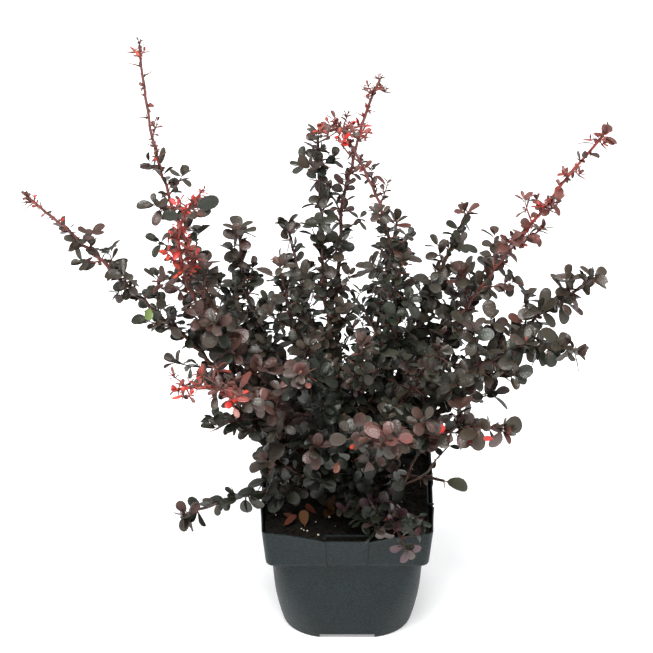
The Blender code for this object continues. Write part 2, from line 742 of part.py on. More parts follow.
def main():
    clear_scene()
    parts = collection("japanese barberry")
    cutters = collection("cutters")
    pot_finish = material("moulded polypropylene", POT_PLASTIC)
    compost_finish = material("peat compost", COMPOST)
    bark_finish = material("bark", BARK)
    leaf_finish = material("foliage", FOLIAGE)
    pot = make_pot(parts, cutters, pot_finish)
    compost = make_compost(parts, compost_finish)
    stool = make_stool(parts, bark_finish)
    curves = shoot_curves(stool)
    boughs = make_boughs(parts, curves, bark_finish)
    make_masses(parts, curves, [pot, compost, stool, *boughs], leaf_finish)


main()
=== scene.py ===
"""A young Japanese barberry with dark purple leaves, in its square nursery pot.

Each shoot is one curve from the woody stool to its tip, as in the solids. Here it also carries fine side
twigs, with a spray of small spoon-shaped leaves at every node, and spines.
Metres, +Z up, -Y towards the camera.
"""

import json
import math
import random
from collections import defaultdict, namedtuple
from itertools import product

import bmesh
import bpy
from mathutils import Matrix, Vector, noise

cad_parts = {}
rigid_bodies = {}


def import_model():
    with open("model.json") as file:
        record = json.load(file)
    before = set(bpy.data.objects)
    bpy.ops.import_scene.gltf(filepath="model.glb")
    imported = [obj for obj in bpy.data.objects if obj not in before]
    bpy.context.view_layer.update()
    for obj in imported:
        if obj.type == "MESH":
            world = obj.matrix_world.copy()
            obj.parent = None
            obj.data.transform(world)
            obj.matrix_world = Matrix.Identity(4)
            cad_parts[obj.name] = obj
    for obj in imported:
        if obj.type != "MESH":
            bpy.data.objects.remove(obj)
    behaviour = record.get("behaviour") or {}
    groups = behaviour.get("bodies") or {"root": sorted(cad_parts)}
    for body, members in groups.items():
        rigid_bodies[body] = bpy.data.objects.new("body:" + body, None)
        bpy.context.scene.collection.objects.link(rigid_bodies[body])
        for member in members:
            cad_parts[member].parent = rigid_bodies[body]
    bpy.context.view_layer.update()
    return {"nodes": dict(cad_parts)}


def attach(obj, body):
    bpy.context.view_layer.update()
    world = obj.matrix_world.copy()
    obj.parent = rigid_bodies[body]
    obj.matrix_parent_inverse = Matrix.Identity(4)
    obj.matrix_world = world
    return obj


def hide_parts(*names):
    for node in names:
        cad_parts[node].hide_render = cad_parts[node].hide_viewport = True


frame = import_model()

SEED = 11
WANDER_SEED = 1  # of the noise that bends the shoots

# The studio
PITCH = math.radians(30.5)
SIGHT = Vector((0, math.cos(PITCH), -math.sin(PITCH)))  # the way the camera looks
TARGET = Vector((-0.0207, 0.0, 0.3253))
DISTANCE = 5.0
LENS, SENSOR = 280.4, 36.0  # mm
LIGHTS = [  # place, size and power
    ("key", (-0.3, -1.1, 3.0), 1.4, 160.0),
    ("fill", (1.6, -1.8, 1.2), 2.0, 12.0),
]
SKY_LIGHT = 0.9
FLOOR_GLOW = 0.25

# The pot, in the sizes of its solid, with a deeper panel and the pocket for its label
POT_WIDTH, POT_HEIGHT = 0.170, 0.138
BAND_HEIGHT, BAND_TAPER = 0.041, 0.004
WALL, FLOOR = 0.0016, 0.005
RIM_CORNER, RIM_DIP, RIM_BULGE = 0.006, 0.009, 0.002
BODY = [  # height, half width and corner radius of the body under the band
    (0.0, 0.0638, 0.0445),
    (0.004, 0.0650, 0.0440),
    (0.020, 0.0683, 0.0405),
    (0.050, 0.0722, 0.0300),
    (0.096, 0.0750, 0.0130),
]
# Its rounded edges, as inset and lift
FOOT_EDGE = [(0.0009, 0.0), (0.0004, 0.0002), (0.0001, 0.0007), (0.0, 0.0024)]
LEDGE_EDGE = [(0.0014, -0.0002), (0.0005, 0.0002), (0.0, 0.0011)]
RIM_EDGE = [(0.0, -0.0006), (0.0003, -0.0001), (0.0008, 0.0), (0.0013, -0.0001), (0.0016, -0.0006)]
NOTCH = (0.055, 0.016, 0.005)  # width, depth and height
PANEL_DEPTH = 0.0012
PANEL_EDGE = 0.272  # its side edges, as a share of half of the side's flat stretch
SIDE_SHARES = (-0.92, -0.8, -0.65, -0.5, -0.4, -0.286, -PANEL_EDGE, -0.2, -0.1, 0.0)
CORNER_STEPS = 12
RIM_FLAT, RIM_CURVE = 0.27, 1.4  # the share of a side that dips and bulges fully, and how the rest fades
BAND_CURVE = 1.3  # how the dip and bulge fade from the rim down the band
BODY_RINGS, BAND_RINGS, BAND_INSIDE, BODY_INSIDE = 24, 10, 5, 8  # how many rings shape each stretch
LABEL_POCKET = (0.045, 0.0012, 0.0812, 0.1335)  # width and thickness of its bar, its distance out, its top
POCKET_LEG = (0.006, 0.0024)  # length of the bar's bent ends, and how far out their middles are
QUARTERS = [Matrix.Rotation(quarter * math.pi / 2, 4, "Z") for quarter in range(4)]

# The compost
COMPOST_TOP, COMPOST_MOUND = 0.126, 0.004
BED_CELLS = 130
BED_GAP, BED_CORNER, BED_DEPTH, BED_SUNK = 0.0016, 0.005, 0.016, 0.0008
BED_TAPER = 0.97  # width of its foot, as a share of its top's
LUMPS, CRUMBS = (90, 0.0022), (420, 0.0007)  # how many to a metre, and their height
# What lies on it: piece, its real name, colour, number, least and greatest size, roughness and spread
STREWN = [
    ("peat_crumbs", "peat crumb", "#12100d", 1700, 0.0012, 0.0034, 0.95, 1.0),
    ("bark_chips", "pine bark chip", "#150f0b", 160, 0.002, 0.0055, 0.9, 1.0),
    ("perlite", "expanded perlite", "#b9b2a0", 22, 0.0012, 0.0042, 0.9, 0.9),
]
# The grains of perlite that show most: place and size
LARGE_PERLITE = [
    (-0.046, 0.001, 0.0055),
    (-0.018, -0.0415, 0.0032),
    (-0.029, -0.0745, 0.003),
    (-0.078, -0.003, 0.003),
]
# Withered leaves on the compost: place, heading and tilt in degrees, and length
LITTER_SHAPES = [(1.1, 0.35, 0.2), (0.8, -0.35, -0.3)]
LITTER = [
    ("withered_leaves_rust", "#522a1d", [
        (-0.064, -0.058, -60, 8, 0.016),
        (-0.054, -0.048, 35, 22, 0.014),
        (-0.030, -0.036, 75, 15, 0.014),
        (0.058, -0.048, -30, 12, 0.015),
    ]),
    ("withered_leaves_tan", "#4e331c", [
        (-0.042, -0.060, 10, 28, 0.016),
        (-0.022, -0.044, -20, 12, 0.018),
        (-0.012, -0.034, 50, 20, 0.013),
        (0.040, -0.064, 100, 10, 0.014),
        (0.030, 0.055, 160, 10, 0.016),
        (-0.050, 0.050, 220, 12, 0.018),
    ]),
]

# The stool, and where the shoots leave it
STOOL_RADIUS, STOOL_HEIGHT, STOOL_FLARE = 0.021, 0.024, 1.25
FLARE_TOP, HEAD_FOOT = 0.3, 0.35  # shares of its height where the flare ends and the round head begins
ROUNDNESS = 2.4  # of the stool's head and of a leaf's blade: 2 is an ellipse
STOOL_CENTRE = Vector((0.0, 0.004, COMPOST_TOP + COMPOST_MOUND))
STOOL_RINGS, STOOL_SIDES = 22, 60
STOOL_BARK, LIMB_BARK = (0.0011, 0.005), (0.00025, 0.002)  # depth and size of the bark's ridges
FEET_APART = math.radians(18)
FEET_CENTRE = 0.25
FEET_RISE = 0.16
FEET_SUNK = 0.002

# Limbs, twigs and spines
STEM_FOOT, STEM_MIDDLE, STEM_TIP = 0.0027, 0.0021, 0.0014  # radii
TWIG_ROOT, TWIG_TIP = 0.0011, 0.0006
SWAY = 0.0012  # a shoot bends this far to and fro at its nodes
SWAYS, SWAY_TURNS = (0.4, 1.6), (-1.1, 1.1)  # how that varies, and its direction
BOW, BOW_LENGTH = 0.0032, 0.045  # and wanders this far off its curve, over about this length
STEM_NODE = 0.0105  # from one node of a shoot to the next
TWIG_NODE = 0.0085
TWIG_STEP = 0.017  # from one side twig to the next
TWIG_EXTRA = 0.010  # the leaves here are smaller than the solids', so twigs reach this much further
TWIG_SHORTENS = 0.75
TWIG_LENGTHS = (0.75, 1.1)  # every twig is a little shorter or longer
TWIGS_END = 0.92  # the share of a shoot from which it has no more side twigs
LEAVES_BEGIN = 0.25  # of the bare stretch at its foot
SPARSE_LEAF, SPARSE_FROM = 0.8, 0.6  # a shoot whose tip has smaller leaves than this has fewer from here
SHORTEST_TWIG = 0.012
TWIG_OPENS = (40, 62)  # degrees from its stem
TWIG_RISES = 0.18  # of its length
SPINE_LENGTH, SPINE_RADIUS = 0.0135, 0.0009
SPINE_LENGTHS, SPINE_WIDTHS = (0.7, 1.3), (0.8, 1.2)  # every spine is a little longer, shorter or thicker
GOLDEN_ANGLE = math.radians(137.5)
STEM_SPRAY = (0.8, 0.3, 0.25)  # how far a spray leans out from its stem, forward along it and up
TWIG_SPRAY = (0.75, 0.35, 0.35)
STEM_SPINE = (1.0, 0.25)
TWIG_SPINE = (1.0, 0.2)

# Leaves
LEAF_LENGTH = 0.0232
LEAF_THICK = 0.016  # of its length
STALK = 0.13  # of its length
SPOON_PEAK = 0.65  # the greatest value of its outline's formula
CREASE = 0.014  # depth of the midrib
LEAF_ROWS = (0.0, STALK, 0.22, 0.38, 0.58, 0.77, 0.91, 0.975)
LEAF_SHAPES = [  # cup across the blade, curl of its tip and skew
    (0.95, -0.16, 0.06),
    (0.45, -0.26, -0.10),
    (-0.30, -0.20, 0.12),
    (1.40, 0.08, -0.06),
    (0.70, 0.05, 0.20),
    (0.15, -0.34, 0.0),
]
YOUNG_LEAF = 0.0125  # leaves shorter than this have the young shapes: narrower, with a thicker stalk
YOUNG_SHAPES = [(0.9, 0.10, 0.1, 0.06, 0.24), (0.5, -0.25, -0.1, 0.06, 0.22), (1.3, -0.05, 0.0, 0.06, 0.28)]
YOUNG_WIDTH = 0.85
WIDTHS = (0.82, 1.18)  # every leaf is a little narrower or wider
LEAF_MIDDLE, LEAF_HALF = 0.6, 0.28  # its middle, and half its width, as shares of its length
VEINS = 7
BLADE_OVAL = (0.58, 0.31, 0.42)  # its middle along the leaf, half its width and half its length
ROOM = 0.26  # leaves of two sprays keep their middles this share of a leaf apart
CELL = 0.012  # of the grid that finds them
OVER_COMPOST, BESIDE_RIM, OVER_RIM = 0.003, 0.005, 0.001  # what they keep clear of the pot
LEANS = (48, 92)  # degrees from a spray's axis to its oldest leaves
YOUNG_LEANS = 26  # and how much nearer to it the youngest are
YOUNG_SHRINKS = 0.30  # and how much smaller
SPRAY_SIZES = (0.72, 1.1)
SPRAY_RISES = 0.001  # from one of its leaves to the next
SPRAY_STRAYS = 0.45  # a leaf turns off the golden angle by this much
TO_LIGHT = Vector((0, -0.08, 0.45))  # every leaf turns this way a little
BUDS = 0.03  # share of the full sprays with a red bud opening in them
HEART_LEAF = 0.0065
FRESH_SIZE = 0.72  # the bright red leaves have only just opened
LATE_START = 0.15  # leaves begin to shrink at this share of a shoot's leafy stretch
LATE_LEAF = 0.5  # a shoot whose tip has smaller leaves than this
LATE_SIZE = 0.82  # keeps this size up to its red part
SMALL_LEAVES = {  # shoots with smaller leaves than the others', and their size
    "dome_left": 0.78,
    "dome_front": 0.72,
    "dome_high": 0.76,
    "dome_right": 0.80,
    "centre_left": 0.84,
    "centre_tall": 0.80,
    "centre_cross": 0.84,
    "inner_right": 0.95,
}

# A shoot: its knee and tip, the bare share at its foot, its twigs' length, the size of the leaves at its tip,
# their tone, and the share from which they are young, with the tone of those
FIELDS = "name knee tip bare reach tip_leaf tone red young"
Shoot = namedtuple("Shoot", FIELDS, defaults=("plum", 1.1, "ruddy"))
SHOOTS = [Shoot(*row) for row in [
    ("tall_left", (-0.182, 0.02, 0.353), (-0.201, 0.05, 0.61), 0.26, 0.036, 0.3, "plum", 0.77),
    ("far_left", (-0.195, -0.01, 0.365), (-0.309, -0.01, 0.476), 0.26, 0.032, 0.32, "plum", 0.84),
    ("red_left", (-0.218, -0.04, 0.418), (-0.142, -0.04, 0.496), 0.3, 0.028, 0.6, "brown", 0.56, "fresh"),
    ("mid_left", (-0.11, -0.055, 0.329), (-0.129, -0.07, 0.368), 0.18, 0.026, 0.95, "dusk"),
    ("low_left_red", (-0.075, -0.09, 0.324), (-0.163, -0.13, 0.332), 0.14, 0.024, 0.55, "copper", 0.6, "warm"),
    ("low_left", (-0.078, -0.05, 0.246), (-0.109, -0.07, 0.26), 0.1, 0.034, 0.8),
    ("runner_left", (-0.085, -0.045, 0.171), (-0.158, -0.06, 0.146), 0.0, 0.014, 0.95, "deep"),
    ("foot_left", (-0.062, -0.04, 0.193), (-0.078, -0.075, 0.215), 0.0, 0.03, 0.9, "deep"),
    ("inner_left", (-0.111, 0.05, 0.298), (-0.106, 0.06, 0.398), 0.26, 0.046, 0.9),
    ("dome_left", (-0.055, 0.0, 0.321), (-0.066, -0.01, 0.397), 0.18, 0.044, 0.9),
    ("centre_left", (-0.031, 0.01, 0.393), (-0.029, 0.02, 0.527), 0.28, 0.031, 0.95),
    ("centre_tall", (-0.033, 0.03, 0.426), (0.031, 0.06, 0.567), 0.3, 0.03, 0.34, "plum", 0.7, "flushed"),
    ("centre_cross", (0.096, -0.01, 0.373), (-0.008, 0.0, 0.549), 0.28, 0.036, 0.6, "plum", 0.86),
    ("dome_high", (0.037, -0.01, 0.333), (0.053, -0.02, 0.41), 0.18, 0.046, 0.95, "deep"),
    ("inner_right", (0.077, 0.04, 0.321), (0.116, 0.05, 0.424), 0.26, 0.04, 0.8),
    ("right_long", (0.103, 0.02, 0.327), (0.247, 0.03, 0.522), 0.26, 0.042, 0.66, "brown", 0.62, "flushed"),
    ("far_right", (0.142, -0.01, 0.307), (0.238, -0.02, 0.391), 0.26, 0.046, 1.05, "brown", 0.82, "turning"),
    ("mid_right", (0.13, -0.05, 0.356), (0.219, -0.07, 0.34), 0.26, 0.04, 1.0),
    ("dome_right", (0.066, -0.06, 0.302), (0.087, -0.085, 0.347), 0.16, 0.044, 0.9),
    ("low_right_red", (0.085, -0.07, 0.266), (0.148, -0.11, 0.274), 0.12, 0.028, 1.05, "dusk"),
    ("low_right", (0.044, -0.05, 0.225), (0.074, -0.095, 0.274), 0.0, 0.036, 0.85, "deep"),
    ("stray_right", (0.072, -0.02, 0.168), (0.096, -0.03, 0.165), 0.0, 0.012, 0.85, "deep"),
    ("front_right_red", (0.023, -0.1, 0.273), (0.042, -0.16, 0.293), 0.12, 0.042, 0.8, "shade", 0.8, "dusky"),
    ("front_left", (-0.032, -0.08, 0.323), (-0.046, -0.145, 0.358), 0.12, 0.044, 0.9, "shade"),
    ("front_middle", (-0.022, -0.07, 0.237), (-0.031, -0.115, 0.256), 0.08, 0.042, 0.9, "shade"),
    ("front_bottom", (0.04, -0.06, 0.161), (0.056, -0.1, 0.133), 0.0, 0.014, 0.85, "mauve", 1.2),
    ("dome_front", (0.004, -0.055, 0.295), (0.014, -0.085, 0.355), 0.16, 0.046, 0.9),
    ("back_left", (-0.095, 0.075, 0.285), (-0.15, 0.135, 0.325), 0.14, 0.04, 0.85),
    ("back_middle_left", (-0.04, 0.09, 0.3), (-0.06, 0.165, 0.345), 0.12, 0.04, 0.85),
    ("back_middle_right", (0.035, 0.095, 0.305), (0.05, 0.17, 0.345), 0.12, 0.04, 0.85),
    ("back_right", (0.095, 0.07, 0.29), (0.15, 0.135, 0.33), 0.14, 0.04, 0.85),
]]
# Crowded sprays near the ends of the shoots: shoot, share of its length, number of sprays, their reach and
# rise, least and greatest leaf, and their tones
TUFTS = [
    ("tall_left", 0.985, 3, 0.007, 0.4, 0.006, 0.010, ("fresh",)),
    ("far_left", 0.975, 3, 0.006, 0.4, 0.006, 0.010, ("ruddy", "fresh")),
    ("centre_tall", 0.965, 6, 0.009, 0.6, 0.005, 0.009, ("flushed", "ruddy")),
    ("centre_cross", 0.985, 15, 0.022, 0.25, 0.010, 0.015, ("fresh", "fresh", "flushed", "ruddy")),
    ("centre_left", 0.90, 5, 0.016, 0.4, 0.016, 0.020, ("dusk", "plum")),
    ("low_left_red", 0.96, 8, 0.013, 0.9, 0.010, 0.015, ("warm",)),
    ("low_left_red", 0.76, 9, 0.019, 0.9, 0.012, 0.017, ("warm", "warm", "ruddy")),
    ("low_left_red", 0.58, 5, 0.018, 0.8, 0.018, 0.024, ("ruddy", "dusky")),
    ("red_left", 0.90, 5, 0.012, 0.5, 0.009, 0.013, ("fresh",)),
    ("red_left", 0.76, 4, 0.009, 0.5, 0.008, 0.012, ("fresh",)),
    ("red_left", 0.62, 4, 0.009, 0.5, 0.009, 0.013, ("fresh", "ruddy")),
    ("right_long", 0.985, 3, 0.008, 0.5, 0.008, 0.013, ("fresh",)),
    ("right_long", 0.90, 3, 0.010, 0.5, 0.008, 0.012, ("fresh", "flushed")),
    ("right_long", 0.80, 4, 0.012, 0.5, 0.009, 0.014, ("ruddy", "fresh")),
    ("right_long", 0.70, 4, 0.013, 0.5, 0.012, 0.017, ("ruddy", "fresh", "dusk")),
    ("low_left", 0.97, 6, 0.024, 0.4, 0.017, 0.022, ("plum", "shade")),
    ("front_right_red", 0.93, 8, 0.021, 0.7, 0.017, 0.023, ("copper", "dusky", "dusky", "turning")),
]
# Sprays from the stool: dark ones all round it, their darkness painted shade, and mauve ones that spill over the
# front, each of those with its heading and rise in degrees and its length
BASAL_SPRAYS, BASAL_RISES, BASAL_LENGTHS = 26, (24, 62), (0.038, 0.070)
BASAL_LIFT, SPILL_LIFT = 0.2, -0.15  # how far their tips bend up, of their length
SPILL = [
    (-90, 20, 0.062), (-80, 14, 0.074), (-71, 20, 0.082), (-63, 12, 0.088), (-56, 18, 0.080),
    (-47, 22, 0.060), (-64, 17, 0.098), (-58, 14, 0.106), (-53, 15, 0.110), (-74, 12, 0.090),
]
# Single leaves that stand out: the place that each is in front of, heading, length and tint
ACCENTS = [
    ((0.047, -0.160, 0.294), (0.8, -0.3, 0.45), 0.018, "copper"),
    ((0.0014, -0.150, 0.2876), (-0.9, -0.2, 0.05), 0.019, "umber"),
    ((0.0014, -0.150, 0.2956), (-0.5, -0.2, 0.80), 0.017, "umber"),
    ((0.0103, -0.150, 0.2990), (0.1, -0.1, 1.00), 0.018, "chestnut"),
    ((0.0132, -0.150, 0.2933), (-0.5, -0.5, 0.20), 0.017, "chestnut"),
    ((0.0201, -0.150, 0.2636), (0.1, -0.3, -0.90), 0.018, "chestnut"),
    ((0.0171, -0.150, 0.2727), (-0.2, -0.3, -0.80), 0.015, "umber"),
    ((0.0260, -0.150, 0.2700), (0.5, -0.5, -0.40), 0.015, "chestnut"),
    ((0.006, -0.150, 0.281), (-0.4, -0.7, 0.10), 0.008, "vermilion"),
    ((-0.009, -0.130, 0.250), (-0.2, -0.8, -0.40), 0.013, "ember"),
    ((0.084, -0.130, 0.282), (0.6, -0.2, 0.50), 0.013, "scarlet"),
    ((0.084, -0.130, 0.282), (0.7, -0.7, 0.10), 0.007, "scarlet"),
    ((0.141, -0.120, 0.270), (-0.8, -0.2, 0.20), 0.011, "scarlet"),
    ((0.118, -0.115, 0.268), (0.1, -0.8, -0.30), 0.008, "coral"),
    ((-0.046, -0.145, 0.358), (0.1, -0.6, 0.50), 0.009, "blush"),
    ((-0.040, -0.140, 0.346), (0.3, -0.8, -0.10), 0.009, "copper"),
    ((-0.110, -0.105, 0.297), (0.3, -0.8, -0.20), 0.012, "blush"),
    ((-0.192, -0.020, 0.359), (-0.2, -0.8, -0.50), 0.015, "lime"),
    ((-0.147, 0.000, 0.458), (0.9, -0.2, 0.40), 0.024, "soot"),
    ((-0.160, 0.000, 0.448), (-0.9, -0.3, 0.20), 0.017, "soot"),
]
ACCENT_TWIG = 0.010  # each stands this far before the foremost spray
ACCENT_NEAR = 0.014  # that is this near to it, as the camera sees them
ACCENT_FACE = Vector((0.2, -0.9, 0.35))
# The few leaves of the low right corner, which is open otherwise: root, heading, length and tint
CLEARING = (Vector((0.056, -0.078, 0.10)), Vector((0.130, 0.085, 0.212)))
STRAY_LEAVES = [
    ((0.096, -0.030, 0.165), (1.0, -0.1, -0.22), 0.025, "olive"),
    ((0.101, -0.006, 0.191), (0.9, -0.3, 0.10), 0.011, "moss"),
    ((0.088, -0.012, 0.178), (0.2, -0.6, 0.60), 0.012, "soot"),
    ((0.088, -0.012, 0.178), (-0.3, -0.5, -0.60), 0.009, "umber"),
    ((0.086, -0.022, 0.200), (0.5, -0.6, -0.30), 0.012, "soot"),
    ((0.086, -0.022, 0.200), (-0.5, -0.6, 0.20), 0.010, "plum"),
    ((0.075, -0.021, 0.165), (0.4, -0.7, -0.40), 0.010, "umber"),
    ((0.076, -0.016, 0.195), (0.3, -0.3, 0.90), 0.009, "moss"),
]
STRAY_FACE = Vector((0, -0.4, 0.9))
# Bare old stems that lean out over the compost, each as the places it passes
OLD_STEMS = [
    [(0.012, -0.012, 0.136), (0.04, -0.023, 0.15), (0.075, -0.021, 0.165), (0.088, -0.012, 0.178),
     (0.101, -0.006, 0.191)],
    [(0.0565, -0.022, 0.157), (0.064, -0.01, 0.17), (0.07, -0.013, 0.185), (0.076, -0.016, 0.195),
     (0.086, -0.022, 0.2)],
]

# sRGB colours of single leaves, and the share of each in a spray of every tone
TINTS = {
    # painted shade: the darkest tint, for leaves low in the crown and under it, where shade falls
    "night": "#151810",
    "soot": "#191c13",
    "slate": "#25261c",
    "plum": "#2d281f",
    "aubergine": "#362b25",
    "umber": "#332a21",
    "chestnut": "#3b2620",
    "mauve": "#3f322d",
    "rosewood": "#50302a",
    "copper": "#643832",
    "coral": "#7a332b",
    "scarlet": "#a0241d",
    "vermilion": "#a63620",
    "moss": "#1d2317",
    "ember": "#643b2c",
    "blush": "#7f4c44",
    "lime": "#5a6b38",
    "olive": "#3f3f2c",
    "wine": "#40292e",
    "dusk": "#453530",
}
TONES = {
    # painted shade: the low and inner shoots and the sprays from the stool are dealt dark tints where the crown
    # shades them
    "deep": {"soot": 5, "slate": 4, "plum": 1.5, "moss": 2},
    "plum": {"soot": 1.5, "slate": 4, "plum": 5, "aubergine": 2, "umber": 1.5, "moss": 0.3},
    "brown": {"slate": 2, "plum": 4, "umber": 3, "aubergine": 2, "chestnut": 1},
    "copper": {"plum": 2, "umber": 3, "aubergine": 2, "chestnut": 3, "mauve": 2, "rosewood": 1},
    "mauve": {"slate": 1.5, "night": 2.5, "moss": 1.5, "umber": 2, "mauve": 2, "wine": 4},
    # painted shade: the low front shoots under the crown are dealt mostly the darkest tints
    "shade": {"night": 6, "soot": 2, "slate": 2, "plum": 1},
    "dusk": {"night": 4, "umber": 3, "chestnut": 7, "wine": 1},
    "dusky": {"chestnut": 4, "mauve": 1, "dusk": 3, "rosewood": 2},
    "turning": {"plum": 3, "umber": 4, "chestnut": 4, "mauve": 1, "rosewood": 1},
    "ruddy": {"aubergine": 1, "mauve": 2, "chestnut": 2, "rosewood": 3, "copper": 3},
    "flushed": {"mauve": 1, "rosewood": 3, "copper": 5, "coral": 0.4},
    "warm": {"rosewood": 1, "copper": 3, "coral": 5, "scarlet": 2.5, "vermilion": 1},
    "fresh": {"rosewood": 0.5, "copper": 2, "coral": 4, "scarlet": 4, "vermilion": 1},
    "heart": {"copper": 4, "coral": 4, "scarlet": 0.5},
}
YOUNG = ("ruddy", "flushed", "warm", "fresh")
TURNING = 0.14  # a shoot's leaves turn over this share of it before they are young
TWIG_COLOURS = {
    "brown": "#291d18",
    "russet": "#38211c",
    "crimson": "#5c2f29",
    "flame": "#7c2820",
    "tan": "#4a3220",
}
SPINE_COLOUR = "#633a2c"
RUSSET_FROM = 0.45  # the share of a shoot from which its bark is russet
RED_BARK, VIVID_BARK = -0.15, 0.05  # from the first young leaves to where it reddens and brightens


# Finishes


def linear(colour):
    """An sRGB hex value as linear RGBA."""
    channels = [int(colour[i : i + 2], 16) / 255 for i in (1, 3, 5)]
    return (*[c / 12.92 if c <= 0.04045 else ((c + 0.055) / 1.055) ** 2.4 for c in channels], 1.0)


def add(tree, kind, inputs=None, **settings):
    """Adds a node. Each input is fed by a socket or holds a plain value."""
    made = tree.nodes.new(kind)
    for name, value in settings.items():
        setattr(made, name, value)
    for name, value in (inputs or {}).items():
        if isinstance(value, bpy.types.NodeSocket):
            tree.links.new(value, made.inputs[name])
        else:
            made.inputs[name].default_value = value
    return made


class Finish:
    """A material with a Principled shader and its plain socket values, patterned by Object coordinates."""

    def __init__(self, name, **sockets):
        self.material = bpy.data.materials.new(name)
        self.material.use_nodes = True
        self.tree = self.material.node_tree
        self.sockets = self.tree.nodes["Principled BSDF"].inputs
        for socket, value in sockets.items():
            self.sockets[socket.replace("_", " ").title().replace("Ior", "IOR")].default_value = value
        self.place = add(self.tree, "ShaderNodeTexCoord").outputs["Object"]

    def calc(self, operation, *values):
        return add(self.tree, "ShaderNodeMath", dict(enumerate(values)), operation=operation).outputs[0]

    def noise(self, scale, detail, roughness=0.5):
        values = {"Vector": self.place, "Scale": scale, "Detail": detail, "Roughness": roughness}
        return add(self.tree, "ShaderNodeTexNoise", values).outputs[0]

    def bump(self, height, strength, distance):
        values = {"Height": height, "Strength": strength, "Distance": distance}
        made = add(self.tree, "ShaderNodeBump", values)
        self.tree.links.new(made.outputs[0], self.sockets["Normal"])

    def gloss(self, value, low, high):
        made = add(self.tree, "ShaderNodeMapRange", {"Value": value, "To Min": low, "To Max": high})
        self.tree.links.new(made.outputs[0], self.sockets["Roughness"])

    def shades(self, value, *stops):
        """Base colour by a value: each stop is the value and the colour there."""
        ramp = add(self.tree, "ShaderNodeValToRGB", {"Fac": value})
        for element, (position, colour) in zip(ramp.color_ramp.elements, stops):
            element.position = position
            element.color = linear(colour)
        self.tree.links.new(ramp.outputs[0], self.sockets["Base Color"])


def leaf_finish(tint):
    """Barberry leaf: a thin waxy cuticle that spreads the light into a broad, weak, greyish highlight."""
    # the painted-shade tint also has a weaker sheen, so that those leaves stay dark as in shade
    wax = 0.3 if tint == "night" else 0.5
    leaf = Finish(f"barberry leaf {tint}", base_color=linear(TINTS[tint]), ior=1.45, specular_ior_level=wax)
    # the blade puckers between its veins, about 2 mm apart
    pucker = leaf.noise(480.0, 2.0)
    # seven pairs of side veins run out and forward from the midrib, 3 mm apart on a full leaf
    blade = add(leaf.tree, "ShaderNodeUVMap").outputs[0]
    across, along = add(leaf.tree, "ShaderNodeSeparateXYZ", {"Vector": blade}).outputs[:2]
    forward = leaf.calc("MULTIPLY_ADD", leaf.calc("ABSOLUTE", across), -0.8, along)
    veins = leaf.calc("SINE", leaf.calc("MULTIPLY", forward, 2 * math.pi * VEINS))
    ribbed = leaf.calc("MULTIPLY_ADD", veins, 0.08, pucker)
    # the margin turns down a little all round the blade
    middle, half_wide, half_long = BLADE_OVAL
    from_middle = leaf.calc("SUBTRACT", along, middle)
    oval = add(leaf.tree, "ShaderNodeCombineXYZ", {"X": across, "Y": from_middle}).outputs[0]
    halves = (1 / half_wide, 1 / half_long, 0)
    scaled = add(leaf.tree, "ShaderNodeVectorMath", {0: oval, 1: halves}, operation="MULTIPLY").outputs[0]
    out = add(leaf.tree, "ShaderNodeVectorMath", {0: scaled}, operation="LENGTH").outputs["Value"]
    margin = {"Value": out, "From Min": 0.62, "From Max": 1.0, "To Min": 0.0, "To Max": -1.3}
    turned = add(leaf.tree, "ShaderNodeMapRange", margin).outputs[0]
    leaf.bump(leaf.calc("ADD", ribbed, turned), 0.48, 0.0009)
    leaf.gloss(pucker, 0.30, 0.55)
    return leaf.material


def twig_finish(name, colour):
    """Young barberry stem: smooth angled bark with a faint silky shine, grooved along its length."""
    stem = Finish(name, base_color=linear(colour), roughness=0.5, ior=1.45)
    # grooves about 1.1 mm apart
    stem.bump(stem.noise(900.0, 3.0), 0.4, 0.0003)
    return stem.material


def bark_finish():
    """Older barberry bark: thin, grey-brown, cracked into fine plates that catch the light at their edges."""
    bark = Finish("barberry bark", roughness=0.8, ior=1.45)
    # plates of about 2.4 mm
    plates = bark.noise(420.0, 5.0, 0.65)
    bark.shades(plates, (0.35, "#2a1c15"), (0.68, "#6e5140"))
    bark.bump(plates, 0.6, 0.0006)
    return bark.material


def pot_finish():
    """Moulded polypropylene, dark grey-green: a soft, even gloss over a faint mottle of handling."""
    plastic = Finish("moulded polypropylene", ior=1.49, specular_ior_level=0.16)
    # broad clouds of 36 mm with a fine mottle of 1.6 mm
    cloud = plastic.noise(28.0, 4.0, 0.6)
    mottle = plastic.calc("MULTIPLY_ADD", plastic.noise(620.0, 1.0), 2.4, cloud)
    plastic.shades(plastic.calc("SUBTRACT", mottle, 1.2), (0.3, "#0c1313"), (0.75, "#182122"))
    # the mould's spark-eroded grain is about 0.3 mm; it is drawn at 1.2 mm so that it shows
    plastic.bump(plastic.noise(800.0, 2.0), 0.6, 0.0012)
    plastic.gloss(cloud, 0.36, 0.56)
    return plastic.material


def compost_finish():
    """Moist peat: black-brown fibre and crumbs with no gloss, a little lighter where it has dried."""
    peat = Finish("moist peat", roughness=0.95, ior=1.4, specular_ior_level=0.15)
    # crumbs of about 3 mm
    crumbs = peat.noise(350.0, 6.0, 0.7)
    peat.shades(crumbs, (0.4, "#0b0a08"), (0.75, "#24201a"))
    peat.bump(crumbs, 0.8, 0.001)
    return peat.material


def plain_finish(name, colour, roughness):
    """A dry thing with a fine grain and no gloss: perlite, bark chip, withered leaf or matt acrylic."""
    dry = Finish(name, base_color=linear(colour), roughness=roughness, ior=1.4, specular_ior_level=0.2)
    # a grain of 1.4 mm
    dry.bump(dry.noise(700.0, 3.0), 0.5, 0.0004)
    return dry.material


# Meshes and pieces


def link(name, data, finish=None):
    """A new object in the scene, at the origin: what it shows has its place in its mesh."""
    obj = bpy.data.objects.new(name, data)
    bpy.context.scene.collection.objects.link(obj)
    if finish is not None:
        data.materials.clear()
        data.materials.append(finish)
    return obj


